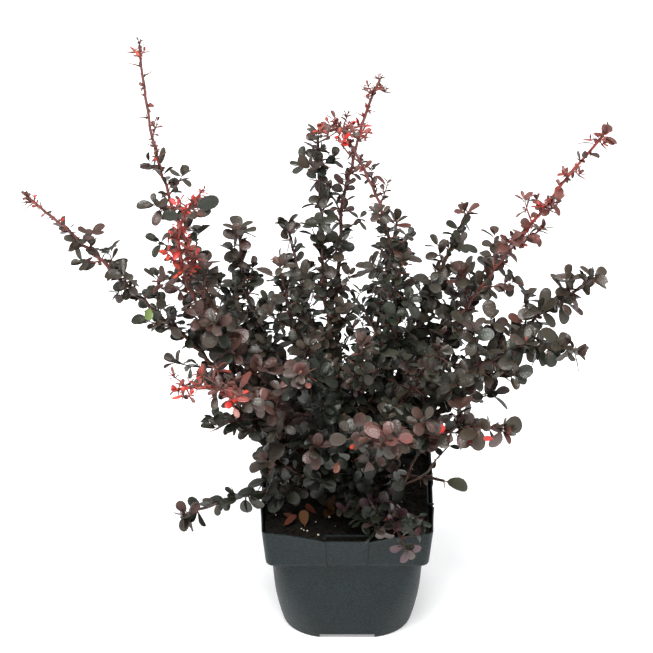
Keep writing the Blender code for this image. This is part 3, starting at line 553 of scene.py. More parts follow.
def plain_mesh(obj):
    """The object's mesh after its modifiers, as plain data. The object itself goes."""
    bpy.context.view_layer.update()
    graph = bpy.context.evaluated_depsgraph_get()
    mesh = bpy.data.meshes.new_from_object(obj.evaluated_get(graph))
    bpy.data.objects.remove(obj)
    return mesh


def hand_over(obj, slot, *nodes):
    """The piece rides on the root body and stands for these nodes. Its slot is not used."""
    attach(obj, "root")
    if nodes:
        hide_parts(*nodes)
    return obj


def mesh_from(bm, name, closed=True):
    """A mesh of these faces, turned outward if they close."""
    if closed:
        bmesh.ops.recalc_face_normals(bm, faces=bm.faces)
    mesh = bpy.data.meshes.new(name)
    bm.to_mesh(mesh)
    bm.free()
    return mesh


def smooth(mesh, angle=180):
    """Shades a mesh smooth, but for edges sharper than this angle in degrees."""
    mesh.shade_smooth()
    if angle < 180:
        mesh.set_sharp_from_angle(angle=math.radians(angle))
    return mesh


def bridge(bm, low, high):
    """Quads from one closed ring to the next."""
    for i in range(len(low)):
        j = (i + 1) % len(low)
        bm.faces.new((low[i], low[j], high[j], high[i]))


def add_box(bm, middle, size, turn):
    sized = Matrix.Translation(middle) @ Matrix.Diagonal((*size, 1.0))
    bmesh.ops.create_cube(bm, size=1.0, matrix=turn @ sized)


def tubes(name, lines, finish, resolution):
    """Tapering tubes, one along each line of points and radii, as one mesh."""
    data = bpy.data.curves.new(name, "CURVE")
    data.dimensions = "3D"
    data.bevel_depth = 1.0
    data.bevel_resolution = resolution
    data.use_fill_caps = True
    for points, radii in lines:
        line = data.splines.new("POLY")
        line.points.add(len(points) - 1)
        line.points.foreach_set("co", [v for p in points for v in (*p, 1.0)])
        line.points.foreach_set("radius", radii)
    mesh = plain_mesh(link(f"{name}_lines", data))
    mesh.name = name
    bm = bmesh.new()
    bm.from_mesh(mesh)
    bmesh.ops.remove_doubles(bm, verts=bm.verts, dist=1e-6)
    bmesh.ops.recalc_face_normals(bm, faces=bm.faces)
    bm.to_mesh(mesh)
    bm.free()
    return link(name, smooth(mesh, 60), finish)


def weather(mesh, depth, size):
    """Bark relief: moves the surface in and out along ridges of about this size, with finer ones on them."""
    moved = []
    for vert in mesh.vertices:
        ridge = 1 - abs(noise.noise(vert.co / size)) * 2
        moved.append(vert.co + vert.normal * depth * (ridge * 0.7 + noise.noise(vert.co / size * 3) * 0.5))
    mesh.vertices.foreach_set("co", [v for p in moved for v in p])
    mesh.update()


def hermite(a, rise_a, b, rise_b, t):
    """A smooth way from a to b, with the rise it has at each."""
    h = 2 * t**3 - 3 * t**2 + 1, t**3 - 2 * t**2 + t, -2 * t**3 + 3 * t**2, t**3 - t**2
    return a * h[0] + rise_a * h[1] + b * h[2] + rise_b * h[3]


def smooth_line(points, radii, times):
    """More points along a line, on a curve through its own."""
    fine, thick = [], []
    for i in range(len(points) - 1):
        before, after = points[max(0, i - 1)], points[min(len(points) - 1, i + 2)]
        a, b = points[i], points[i + 1]
        for step in range(times):
            t = step / times
            fine.append(hermite(a, (b - before) * 0.5, b, (after - a) * 0.5, t))
            thick.append(radii[i] + (radii[i + 1] - radii[i]) * t)
    return [*fine, points[-1]], [*thick, radii[-1]]


# Repeated shapes

Spot = namedtuple("Spot", "root turn size shape")


def placing_tree():
    """Sets one of a collection's shapes on every point, turned and sized by the point's attributes."""
    tree = bpy.data.node_groups.new("shapes on points", "GeometryNodeTree")
    for name, kind in (("Points", "Geometry"), ("Shapes", "Collection"), ("Finish", "Material")):
        tree.interface.new_socket(name, in_out="INPUT", socket_type=f"NodeSocket{kind}")
    tree.interface.new_socket("Placed", in_out="OUTPUT", socket_type="NodeSocketGeometry")
    given = add(tree, "NodeGroupInput").outputs
    choices = {"Collection": given["Shapes"], "Separate Children": True, "Reset Children": True}
    shapes = add(tree, "GeometryNodeCollectionInfo", choices)
    how = {"Points": given["Points"], "Instance": shapes.outputs[0], "Pick Instance": True}
    for socket, name, kind in (
        ("Instance Index", "shape", "INT"),
        ("Rotation", "turn", "QUATERNION"),
        ("Scale", "size", "FLOAT_VECTOR"),
    ):
        read = add(tree, "GeometryNodeInputNamedAttribute", {"Name": name}, data_type=kind)
        how[socket] = read.outputs["Attribute"]
    placed = add(tree, "GeometryNodeInstanceOnPoints", how)
    real = add(tree, "GeometryNodeRealizeInstances", {"Geometry": placed.outputs[0]})
    done = add(tree, "GeometryNodeSetMaterial", {"Geometry": real.outputs[0], "Material": given["Finish"]})
    add(tree, "NodeGroupOutput", {"Placed": done.outputs[0]})
    return tree


def place_shapes(name, spots, shapes, finish, tree):
    """One plain mesh of the shapes set at these spots."""
    mesh = bpy.data.meshes.new(name)
    mesh.from_pydata([s.root for s in spots], [], [])
    for key, kind, field, values in (
        ("turn", "QUATERNION", "value", [v for s in spots for v in s.turn]),
        ("size", "FLOAT_VECTOR", "vector", [v for s in spots for v in s.size]),
        ("shape", "INT", "value", [s.shape for s in spots]),
    ):
        mesh.attributes.new(key, kind, "POINT").data.foreach_set(field, values)
    points = link(f"{name}_points", mesh)
    growth = points.modifiers.new("shapes on points", "NODES")
    growth.node_group = tree
    named = {item.name: item.identifier for item in tree.interface.items_tree if item.in_out == "INPUT"}
    growth[named["Shapes"]] = shapes
    growth[named["Finish"]] = finish
    placed = plain_mesh(points)
    placed.name = name
    return link(name, placed, finish)


def shape_collection(name, meshes):
    """A collection outside the scene that holds the shapes to place."""
    made = bpy.data.collections.new(name)
    for index, mesh in enumerate(meshes):
        made.objects.link(bpy.data.objects.new(f"{name}_{index}", mesh))
    return made


def half_width(along, stalk, breadth):
    """Half the width of a spoon-shaped leaf at a share of its length: a short stalk, then a round spoon."""
    share = max(0.0, (along - STALK) / (1 - STALK))
    return max(stalk, breadth * share**0.5 * math.sqrt(max(0.0, 1 - share**ROUNDNESS)) / SPOON_PEAK)


def leaf_shape(index, cup, curl, skew, stalk=0.028, breadth=0.31):
    """A closed thin blade one unit long: its root at the origin, its tip at +Y, its upper face at +Z."""
    bm = bmesh.new()

    def height(x, y):
        return cup * x * x + curl * y * y + skew * x * y

    upper, keel = [], []
    for y in LEAF_ROWS:
        half = half_width(y, stalk, breadth)
        crease = CREASE if y > STALK else 0.0
        row = []
        for share in (-1.0, -0.5, 0.0, 0.5, 1.0):
            x = share * half
            row.append(bm.verts.new((x, y, height(x, y) - crease * (share == 0.0))))
        upper.append(row)
        thick = LEAF_THICK if y > STALK else stalk * 1.5
        keel.append(bm.verts.new((0.0, y, height(0.0, y) - crease - thick)))
    tip = bm.verts.new((0.0, 1.0, height(0.0, 1.0)))
    for (near, far), (low, high) in zip(zip(upper, upper[1:]), zip(keel, keel[1:])):
        for i in range(4):
            bm.faces.new((near[i], near[i + 1], far[i + 1], far[i]))
        bm.faces.new((near[0], far[0], high, low))
        bm.faces.new((low, high, far[4], near[4]))
    for i in range(4):
        bm.faces.new((upper[-1][i], upper[-1][i + 1], tip))
    bm.faces.new((upper[-1][0], tip, keel[-1]))
    bm.faces.new((keel[-1], tip, upper[-1][4]))
    bm.faces.new((*reversed(upper[0]), keel[0]))
    layer = bm.loops.layers.uv.new("UVMap")
    for face in bm.faces:
        for corner in face.loops:
            corner[layer].uv = corner.vert.co.xy
    return smooth(mesh_from(bm, f"leaf_{index}"), 75)


def spine_shape():
    """A straight four-sided thorn one unit long, along +Y."""
    bm = bmesh.new()
    turn = Matrix.Rotation(-math.pi / 2, 4, "X") @ Matrix.Translation((0, 0, 0.5))
    bmesh.ops.create_cone(bm, cap_ends=True, segments=4, radius1=1.0, radius2=0.12, depth=1.0, matrix=turn)
    return smooth(mesh_from(bm, "spine_0"))


def crumb_shape(index, rng):
    """A small uneven lump."""
    bm = bmesh.new()
    bmesh.ops.create_icosphere(bm, subdivisions=1, radius=0.5)
    for vert in bm.verts:
        vert.co *= rng.uniform(0.65, 1.1)
    return mesh_from(bm, f"crumb_{index}")


# The shoots' curves


class Curve(namedtuple("Curve", "start knee tip")):
    def at(self, t):
        return self.start * (1 - t) ** 2 + self.knee * 2 * t * (1 - t) + self.tip * t * t

    def slope(self, t):
        return ((self.knee - self.start) * (1 - t) + (self.tip - self.knee) * t).normalized()


def stool_radius(height):
    """Radius of the stool at a height above its flat foot: a flare, then a round head."""
    share = height / STOOL_HEIGHT
    flare = 1 + (STOOL_FLARE - 1) * max(0.0, 1 - share / FLARE_TOP) ** 2
    head = math.sqrt(max(0.0, 1 - (max(0.0, share - HEAD_FOOT) / (1 - HEAD_FOOT)) ** ROUNDNESS))
    return STOOL_RADIUS * flare * head


def spread_feet(directions):
    """Directions from the stool's middle, moved apart until no two feet crowd each other."""
    spread = [d.normalized() for d in directions]
    for _ in range(200):
        moved = False
        for i, j in ((i, j) for i in range(len(spread)) for j in range(i)):
            a, b = spread[i], spread[j]
            angle = a.angle(b)
            if angle < FEET_APART:
                push = (a - b).normalized() * (FEET_APART - angle) * 0.5
                spread[i] = (a + push).normalized()
                spread[j] = (b - push).normalized()
                moved = True
        spread = [Vector((d.x, d.y, max(d.z, FEET_RISE))).normalized() for d in spread]
        if not moved:
            break
    return spread


def shoot_curves():
    """Each shoot's curve, its foot sunk a little in the stool."""
    start = STOOL_CENTRE + Vector((0, 0, STOOL_HEIGHT * FEET_CENTRE))
    curves = {}
    for shoot, direction in zip(SHOOTS, spread_feet([Vector(s.knee) - start for s in SHOOTS])):
        reach = STOOL_RADIUS * 0.4
        foot = start + direction * reach
        while math.hypot(foot.x, foot.y - STOOL_CENTRE.y) < stool_radius(foot.z - STOOL_CENTRE.z):
            reach += 0.0002
            foot = start + direction * reach
        curves[shoot.name] = Curve(foot - direction * FEET_SUNK, Vector(shoot.knee), Vector(shoot.tip))
    return curves


def side_of(along, angle):
    """A direction square to along, turned by an angle from its upward side."""
    up = Vector((0, 0, 1)) if abs(along.z) < 0.95 else Vector((0, 1, 0))
    side = along.cross(up).normalized()
    over = side.cross(along).normalized()
    return over * math.cos(angle) + side * math.sin(angle)


def leaning(slope, turn, out, forward, up=0.0):
    """A direction that leaves a stem by these shares: out to its side, forward along it and up."""
    return (side_of(slope, turn) * out + slope * forward + Vector((0, 0, up))).normalized()


def past(start, share):
    """How far a share of a shoot is on its way from this start to the tip."""
    return max(0.0, (share - start) / (1 - start))


# The growth


def above_pot(point):
    """True if the point clears the compost, the rim and the open corner."""
    if all(a < v < b for a, v, b in zip(CLEARING[0], point, CLEARING[1])):
        return False
    past_rim = max(abs(point.x), abs(point.y)) - POT_WIDTH / 2
    if past_rim < 0 and point.z < COMPOST_TOP + COMPOST_MOUND + OVER_COMPOST:
        return False
    return abs(past_rim) > BESIDE_RIM or point.z > POT_HEIGHT + OVER_RIM


class Plant:
    """Collects what the shoots grow: leaves by tint, twigs by colour, spines and the old limbs."""

    def __init__(self):
        self.leaves = defaultdict(list)
        self.twigs = defaultdict(list)
        self.spines = []
        self.limbs = []
        self.middles = defaultdict(list)
        self.nodes = []

    def room(self, middle, gap, spray):
        """True if no leaf of another spray has its middle this near. The leaf then takes its place."""
        cell = [round(v / CELL) for v in middle]
        for step in product((-1, 0, 1), repeat=3):
            for other, owner in self.middles[tuple(c + s for c, s in zip(cell, step))]:
                if owner != spray and (other - middle).length < gap:
                    return False
        self.middles[tuple(cell)].append((middle, spray))
        return True

    def leaf(self, rng, root, blade, upper, length, tint, spray, width=1.0):
        """Puts a leaf there, unless it would stand in the pot or in another leaf."""
        middle = root + blade * length * LEAF_MIDDLE
        wide = blade.cross(upper).normalized() * length * LEAF_HALF
        outline = (root + blade * length, middle + wide, middle - wide)
        if all(above_pot(p) for p in outline) and self.room(middle, length * ROOM, spray):
            self.put_leaf(rng, root, blade, upper, length, tint, width)

    def put_leaf(self, rng, root, blade, upper, length, tint, width=1.0):
        across = blade.cross(upper).normalized()
        upper = across.cross(blade).normalized()
        turn = Matrix((across, blade, upper)).transposed().to_quaternion()
        size = (length * width * rng.uniform(*WIDTHS), length, length)
        shape = rng.randrange(len(LEAF_SHAPES))
        if length < YOUNG_LEAF:
            shape = len(LEAF_SHAPES) + shape % len(YOUNG_SHAPES)
        self.leaves[tint].append(Spot(root, turn, size, shape))

    def spine(self, rng, root, heading, length):
        side = heading.orthogonal().normalized()
        turn = Matrix((side, heading, side.cross(heading))).transposed().to_quaternion()
        thick = SPINE_RADIUS * rng.uniform(*SPINE_WIDTHS)
        self.spines.append(Spot(root, turn, (thick, length, thick), 0))

    def spray(self, rng, root, axis, count, length, tone):
        """Leaves round their axis, the oldest lowest and largest, all turned up to the light.
        The youngest parts of a shoot, and a few sprays elsewhere, have small red leaves at the heart."""
        tints = rng.choices(list(TONES[tone]), list(TONES[tone].values()), k=2)
        angle = rng.uniform(0, 2 * math.pi)
        own = root.to_tuple(5)
        if count > 3:
            self.nodes.append(root)
        for index in range(count):
            age = index / max(1, count - 1)
            lean = math.radians(rng.uniform(*LEANS) - YOUNG_LEANS * age)
            radial = side_of(axis, angle)
            blade = (axis * math.cos(lean) + radial * math.sin(lean)).normalized()
            upper = axis * math.sin(lean) - radial * math.cos(lean) + TO_LIGHT
            size = length * (1 - YOUNG_SHRINKS * age) * rng.uniform(*SPRAY_SIZES)
            foot = root + axis * SPRAY_RISES * index
            width = YOUNG_WIDTH if tone in YOUNG else 1.0
            self.leaf(rng, foot, blade, upper, size, rng.choice(tints), own, width)
            angle += GOLDEN_ANGLE + rng.uniform(-SPRAY_STRAYS, SPRAY_STRAYS)
        if tone != "heart" and (tone in YOUNG or (count > 3 and rng.random() < BUDS)):
            few = rng.choice((2, 3))
            self.spray(rng, root + axis * 0.0008, axis, few, HEART_LEAF * rng.uniform(0.7, 1.2), "heart")


def tone_at(shoot, share):
    """The tone of the leaves at a share of a shoot."""
    if share > shoot.red:
        return shoot.young
    return "turning" if share > shoot.red - TURNING else shoot.tone


def twig_colour(shoot, share):
    """The bark's colour there: brown, reddish further out, and bright red on the young end."""
    if share > shoot.red + RED_BARK and shoot.red < 1 and shoot.young in YOUNG:
        vivid = share > shoot.red + VIVID_BARK and shoot.young != "ruddy" and shoot.tip_leaf >= LATE_LEAF
        return "flame" if vivid else "crimson"
    return "russet" if share > RUSSET_FROM or shoot.tone in ("copper", "mauve") else "brown"


def size_at(shoot, share):
    """Leaves grow smaller along a shoot, once it has left the middle of the crown."""
    full = LEAF_LENGTH * SMALL_LEAVES.get(shoot.name, 1.0)
    if shoot.tip_leaf < LATE_LEAF:
        return full * (shoot.tip_leaf if share > shoot.red else LATE_SIZE)
    late = past(shoot.bare + (1 - shoot.bare) * LATE_START, share)
    fresh = FRESH_SIZE if tone_at(shoot, share) in ("fresh", "warm") else 1.0
    return full * (1 + (shoot.tip_leaf - 1) * late) * fresh


def grow_sprays(plant, rng, bend, bark, thick, steps, shares, counts, length, least, tone, thorns):
    """A twig along its bend, with a spray at each of these shares of it."""
    radii = [thick + (TWIG_TIP - thick) * i / steps for i in range(steps + 1)]
    plant.twigs[bark].append(([bend.at(i / steps) for i in range(steps + 1)], radii))
    turn = rng.uniform(0, 2 * math.pi)
    for share in shares:
        point, slope = bend.at(share), bend.slope(share)
        axis = leaning(slope, turn, *TWIG_SPRAY)
        plant.spray(rng, point, axis, rng.choice(counts), length * rng.uniform(least, 1.0), tone)
        if thorns:
            plant.spine(rng, point, leaning(slope, turn, *TWIG_SPINE), SPINE_LENGTH * 0.5)
        turn += GOLDEN_ANGLE


def grow_twig(plant, rng, shoot, share, start, along, angle):
    """A side twig that leaves the stem, bends up to the light and carries sprays to its tip."""
    late = past(shoot.bare, share)
    length = (shoot.reach + TWIG_EXTRA * (1 - late)) * (1 - late) ** TWIG_SHORTENS * rng.uniform(*TWIG_LENGTHS)
    if length < SHORTEST_TWIG:
        return
    opening = math.radians(rng.uniform(*TWIG_OPENS))
    heading = along * math.cos(opening) + side_of(along, angle) * math.sin(opening)
    end = start + heading * length + Vector((0, 0, TWIG_RISES * length))
    if not above_pot(end):
        return
    bend = Curve(start, start + heading * length * 0.5, end)
    size, tone, bark = size_at(shoot, share), tone_at(shoot, share), twig_colour(shoot, share)
    count = max(1, round(length / TWIG_NODE))
    shares = [(index + 0.6) / (count + 0.4) for index in range(count)]
    grow_sprays(plant, rng, bend, bark, TWIG_ROOT, 5, shares, (2, 3, 3), size, 0.8, tone, True)
    axis = (bend.slope(1.0) + Vector((0, 0, 0.3))).normalized()
    plant.spray(rng, end, axis, rng.choice((4, 5)), size * 0.95, tone)


def shoot_line(rng, shoot, curve, length, count):
    """The places and radii of a shoot's nodes, swaying and wandering about its curve."""
    points, radii = [], []
    start_of_bow = Vector((SHOOTS.index(shoot) * 7.3, 0.5, 0.5))
    foot = STEM_FOOT if shoot.bare else STEM_MIDDLE
    for i in range(count + 1):
        t = i / count
        aside = side_of(curve.slope(t), math.pi * i + rng.uniform(*SWAY_TURNS)) * rng.uniform(*SWAYS)
        wander = noise.noise_vector(start_of_bow + Vector((0, 0, t * length / BOW_LENGTH))) * BOW
        points.append(curve.at(t) + (aside * SWAY + wander) * min(1.0, 4 * t, 4 * (1 - t)))
        early = min(1.0, t / max(shoot.bare, 0.05))
        late = past(shoot.bare, t)
        radii.append(foot + (STEM_MIDDLE - foot) * early + (STEM_TIP - STEM_MIDDLE) * late)
    return points, radii


def grow_shoot(plant, shoot, curve):
    """A stem, old wood up to where its bark turns, with a spray and a spine at each node, and side twigs."""
    rng = random.Random(f"{SEED} {shoot.name}")
    steps = 40
    length = sum((curve.at((i + 1) / steps) - curve.at(i / steps)).length for i in range(steps))
    count = max(6, round(length / STEM_NODE))
    points, radii = shoot_line(rng, shoot, curve, length, count)
    bark = [twig_colour(shoot, i / count) for i in range(count + 1)]
    first = max(2, next((i for i, colour in enumerate(bark) if colour != "brown"), count))
    plant.limbs.append((points[: first + 1], radii[: first + 1]))
    for i in range(first, count):
        plant.twigs[bark[i]].append((points[i : i + 2], radii[i : i + 2]))
    turn = rng.uniform(0, 2 * math.pi)
    twig_turn = rng.uniform(0, 2 * math.pi)
    since = 0.0
    for i in range(1, count + 1):
        t = i / count
        if t < shoot.bare * LEAVES_BEGIN:
            continue
        point, slope = points[i], curve.slope(t)
        sparse = shoot.tip_leaf < SPARSE_LEAF and t > SPARSE_FROM
        leaves = rng.choice((2, 2, 3) if sparse else (2, 3, 4))
        axis = leaning(slope, turn, *STEM_SPRAY)
        plant.spray(rng, point, axis, leaves, size_at(shoot, t) * rng.uniform(0.85, 1.05), tone_at(shoot, t))
        thorn = leaning(slope, turn + 0.3, *STEM_SPINE)
        plant.spine(rng, point, thorn, SPINE_LENGTH * rng.uniform(*SPINE_LENGTHS))
        turn += GOLDEN_ANGLE
        since += length / count
        if since > TWIG_STEP and t < TWIGS_END:
            since = 0.0
            grow_twig(plant, rng, shoot, t, point, slope, twig_turn)
            twig_turn += GOLDEN_ANGLE
    plant.spray(rng, points[-1], curve.slope(1.0), 5, size_at(shoot, 1.0), tone_at(shoot, 1.0))


def grow_tufts(plant, curves):
    """The crowded sprays near the ends of some shoots, each on a short twig of its own."""
    for name, share, count, reach, rise, small, large, tones in TUFTS:
        rng = random.Random(f"{SEED} tuft {name} {share}")
        heart = curves[name].at(share)
        for index in range(count):
            angle = 2 * math.pi * (index + rng.uniform(0.2, 0.8)) / count
            out = Vector((math.cos(angle), math.sin(angle), rng.uniform(-0.6, 1.0) * rise))
            end = heart + out * reach * rng.uniform(0.4, 1.0)
            middle = (heart + end) / 2 + Vector((0, 0, 0.002))
            plant.twigs["crimson"].append(([heart, middle, end], [TWIG_ROOT, TWIG_ROOT * 0.8, TWIG_TIP]))
            axis = Vector((out.x * 0.5, out.y * 0.5, 0.8)).normalized()
            plant.spray(rng, end, axis, 4, rng.uniform(small, large), rng.choice(tones))
            plant.spine(rng, end, out.normalized(), SPINE_LENGTH)


def grow_basal(plant):
    """The leafy twigs that leave the stool itself."""
    rng = random.Random(f"{SEED} basal")
    sprays = []
    for i in range(BASAL_SPRAYS):
        rise, length = rng.uniform(*BASAL_RISES), rng.uniform(*BASAL_LENGTHS)
        sprays.append((GOLDEN_ANGLE * i, rise, length, BASAL_LIFT, "deep"))
    for angle, rise, length in SPILL:
        sprays.append((math.radians(angle), rise, length, SPILL_LIFT, "mauve"))
    for angle, rise, length, lift, tone in sprays:
        out = Vector((math.cos(angle), math.sin(angle), 0))
        rise = math.radians(rise)
        heading = out * math.cos(rise) + Vector((0, 0, math.sin(rise)))
        start = STOOL_CENTRE + out * STOOL_RADIUS * 0.6 + Vector((0, 0, STOOL_HEIGHT * 0.5))
        end = start + heading * length + Vector((0, 0, lift * length))
        bend = Curve(start, start + heading * length * 0.5, end)
        count = round(length / TWIG_NODE)
        shares = [index / count for index in range(1, count + 1)]
        thick = TWIG_ROOT * 1.3
        grow_sprays(plant, rng, bend, "brown", thick, 6, shares, (3, 4), LEAF_LENGTH, 0.75, tone, False)


def before_crown(nodes, place):
    """The point just before the leaves on the camera's line through a place."""
    seen = []
    for node in nodes:
        away = node - place
        depth = away.dot(SIGHT)
        seen.append(((away - SIGHT * depth).length, depth))
    depths = [depth for aside, depth in seen if aside < ACCENT_NEAR] or [min(seen)[1]]
    return place + SIGHT * (min(depths) - ACCENT_TWIG)


def grow_details(plant):
    """The single leaves that stand out, each on a thin twig, and the bare old stems low on the plant."""
    rng = random.Random(f"{SEED} details")
    for near, heading, length, tint in ACCENTS:
        foot = before_crown(plant.nodes, Vector(near))
        root = min(plant.nodes, key=lambda node: (node - foot).length)
        plant.twigs["russet"].append(([root, (root + foot) / 2 - SIGHT * 0.001, foot], [TWIG_TIP] * 3))
        plant.put_leaf(rng, foot, Vector(heading).normalized(), ACCENT_FACE, length, tint)
    for places in OLD_STEMS:
        count = len(places) - 1
        radii = [STEM_TIP * (0.95 - 0.4 * i / count) for i in range(count + 1)]
        plant.twigs["tan"].append(smooth_line([Vector(p) for p in places], radii, 4))
    for root, heading, length, tint in STRAY_LEAVES:
        plant.put_leaf(rng, Vector(root), Vector(heading).normalized(), STRAY_FACE, length, tint)


def make_stool():
    """A turned profile, with ridged bark relief over its outer side."""
    levels = [1.0 - i / STOOL_RINGS for i in range(STOOL_RINGS + 1)]
    profile = [Vector((max(0.0, stool_radius(STOOL_HEIGHT * s)), 0, STOOL_HEIGHT * s)) for s in levels]
    profile.append(Vector((0, 0, 0)))
    mesh = bpy.data.meshes.new("stool")
    mesh.from_pydata(profile, [(i, i + 1) for i in range(len(profile) - 1)], [])
    turned = link("stool_profile", mesh)
    screw = turned.modifiers.new("turned", "SCREW")
    screw.steps = screw.render_steps = STOOL_SIDES
    screw.use_merge_vertices = True
    screw.merge_threshold = 0.00001
    stool = plain_mesh(turned)
    stool.transform(Matrix.Translation(STOOL_CENTRE))
    weather(stool, *STOOL_BARK)
    return stool


def make_plant(tree):
    """Leaves, twigs and spines by colour, for the masses of foliage, and one bark for the stool and boughs."""
    noise.seed_set(WANDER_SEED)
    plant = Plant()
    curves = shoot_curves()
    for shoot in SHOOTS:
        grow_shoot(plant, shoot, curves[shoot.name])
    grow_tufts(plant, curves)
    grow_basal(plant)
    grow_details(plant)
    masses = [n for n in frame["nodes"] if n.startswith("foliage_")]
    leaves = shape_collection("leaf", [leaf_shape(i, *s) for i, s in enumerate(LEAF_SHAPES + YOUNG_SHAPES)])
    for tint, spots in plant.leaves.items():
        hand_over(place_shapes(f"leaves_{tint}", spots, leaves, leaf_finish(tint), tree), "foliage", *masses)
    for colour, lines in plant.twigs.items():
        finish = twig_finish(f"barberry twig {colour}", TWIG_COLOURS[colour])
        hand_over(tubes(f"twigs_{colour}", lines, finish, 1), "bark", *masses)
    thorn = shape_collection("spine", [spine_shape()])
    finish = twig_finish("barberry spine", SPINE_COLOUR)
    hand_over(place_shapes("spines", plant.spines, thorn, finish, tree), "bark", *masses)
    limbs = tubes("limbs", [smooth_line(*line, 6) for line in plant.limbs], None, 3)
    weather(limbs.data, *LIMB_BARK)
    bm = bmesh.new()
    for mesh in (make_stool(), limbs.data):
        bm.from_mesh(mesh)
    bpy.data.objects.remove(limbs)
    wood = link("old_wood", smooth(mesh_from(bm, "old_wood")), bark_finish())
    hand_over(wood, "bark", "stool", *[n for n in frame["nodes"] if n.startswith("bough_")])


# Pot and compost


def rounded_square(half, corner, z, dip=0.0, bulge=0.0, panel=0.0):
    """A ring of a square with round corners. dip lowers and bulge pushes out the middle of each side,
    and panel sinks the stretch of the label panel."""
    flat = half - corner
    shares = SIDE_SHARES + tuple(-s for s in SIDE_SHARES[-2::-1])
    ring = []
    for turn in QUARTERS:
        for share in shares:
            middle = (1 - max(0.0, abs(share) - RIM_FLAT) / (1 - RIM_FLAT)) ** RIM_CURVE
            sunk = panel if abs(share) <= PANEL_EDGE else 0.0
            ring.append(turn @ Vector((share * flat, sunk - half - bulge * middle, z - dip * middle)))
        for step in range(CORNER_STEPS + 1):
            angle = -math.pi / 2 + step * math.pi / 2 / CORNER_STEPS
            around = Vector((math.cos(angle), math.sin(angle), 0))
            ring.append(turn @ (Vector((flat, -flat, z)) + corner * around))
    return ring


def body_at(z):
    """Half width and corner radius of the body at a height, on a smooth line through the table."""
    i = next((i for i in range(len(BODY) - 1) if z <= BODY[i + 1][0]), len(BODY) - 2)
    low, high = BODY[i], BODY[i + 1]
    below, above = BODY[max(0, i - 1)], BODY[min(len(BODY) - 1, i + 2)]
    span = high[0] - low[0]
    values = []
    for k in (1, 2):
        rise_low = (high[k] - below[k]) / max(high[0] - below[0], 1e-9) * span
        rise_high = (above[k] - low[k]) / max(above[0] - low[0], 1e-9) * span
        values.append(hermite(low[k], rise_low, high[k], rise_high, (z - low[0]) / span))
    return values


def pot_rings():
    """The moulded wall, from its rounded foot up the body, ledge and band, over the rim and down inside."""
    foot, neck, ledge = FOOT_EDGE[-1][1], BODY[-1][0], POT_HEIGHT - BAND_HEIGHT
    band_half, band_corner = POT_WIDTH / 2 - BAND_TAPER, RIM_CORNER + 0.002
    neck_half, neck_corner = body_at(neck)

    def body(z, inset=0.0):
        half, corner = body_at(z)
        return rounded_square(half - inset, corner - inset, z)

    def band(half, corner, z, sag):
        return rounded_square(half, corner, z, RIM_DIP * sag, RIM_BULGE * sag, PANEL_DEPTH)

    rings = [body(lift, inset) for inset, lift in FOOT_EDGE]
    rise = neck - 0.0014 - foot
    rings += [body(foot + rise * step / BODY_RINGS) for step in range(1, BODY_RINGS + 1)]
    rings.append(rounded_square(neck_half + 0.0004, neck_corner, ledge - 0.0006))
    rings += [band(band_half - inset, band_corner - inset, ledge + lift, 0.0) for inset, lift in LEDGE_EDGE]
    for step in range(1, BAND_RINGS + 1):
        share = step / BAND_RINGS * 0.975
        corner = band_corner + (RIM_CORNER - band_corner) * share
        rings.append(band(band_half + BAND_TAPER * share, corner, ledge + BAND_HEIGHT * share, share**BAND_CURVE))
    top = POT_WIDTH / 2
    rings += [band(top - inset, RIM_CORNER - inset, POT_HEIGHT + lift, 1.0) for inset, lift in RIM_EDGE]
    for step in range(1, BAND_INSIDE + 1):
        share = 1 - step / BAND_INSIDE * 0.9
        z = ledge + WALL + (BAND_HEIGHT - WALL) * share
        rings.append(band(band_half + BAND_TAPER * share - WALL, RIM_CORNER - WALL / 2, z, share**BAND_CURVE))
    rings.append(rounded_square(neck_half - WALL, neck_corner - WALL, ledge + WALL))
    inside = ledge - 0.001
    fall = inside - FLOOR
    rings += [body(inside - fall * step / BODY_INSIDE, WALL) for step in range(1, BODY_INSIDE + 1)]
    return rings


def make_pot():
    """The wall with its drainage notches cut out, and the bar of the label pocket, bent in at its ends."""
    bm = bmesh.new()
    rings = [[bm.verts.new(p) for p in ring] for ring in pot_rings()]
    for low, high in zip(rings, rings[1:]):
        bridge(bm, low, high)
    bm.faces.new(list(reversed(rings[0])))
    bm.faces.new(rings[-1])
    wall = link("pot_wall", mesh_from(bm, "pot_wall"))
    cutters = bpy.data.collections.new("pot cutters")
    bpy.context.scene.collection.children.link(cutters)
    width, depth, height = NOTCH
    low = Vector((-width / 2, -BODY[0][1] - 0.02, -0.01))
    high = Vector((width / 2, -BODY[0][1] + depth, height))
    for turn in QUARTERS:
        cut = bmesh.new()
        add_box(cut, (low + high) / 2, high - low, turn)
        cutters.objects.link(bpy.data.objects.new("pot_cutter", mesh_from(cut, "pot_cutter")))
    carve = wall.modifiers.new("notches", "BOOLEAN")
    carve.operation = "DIFFERENCE"
    carve.operand_type = "COLLECTION"
    carve.collection = cutters
    carve.solver = "EXACT"
    bm = bmesh.new()
    bm.from_mesh(plain_mesh(wall))
    for cutter in list(cutters.objects):
        bpy.data.objects.remove(cutter)
    bpy.data.collections.remove(cutters)
    wide, thick, out, top = LABEL_POCKET
    leg, leg_out = POCKET_LEG
    z = top - thick / 2
    boxes = [((0, thick / 2 - out, z), (wide, thick, thick))]
    boxes += [((side * wide / 2, -leg_out - out, z), (thick, leg, thick)) for side in (-1, 1)]
    for turn in QUARTERS:
        for middle, size in boxes:
            add_box(bm, middle, size, turn)
    return smooth(mesh_from(bm, "nursery_pot"), 32)


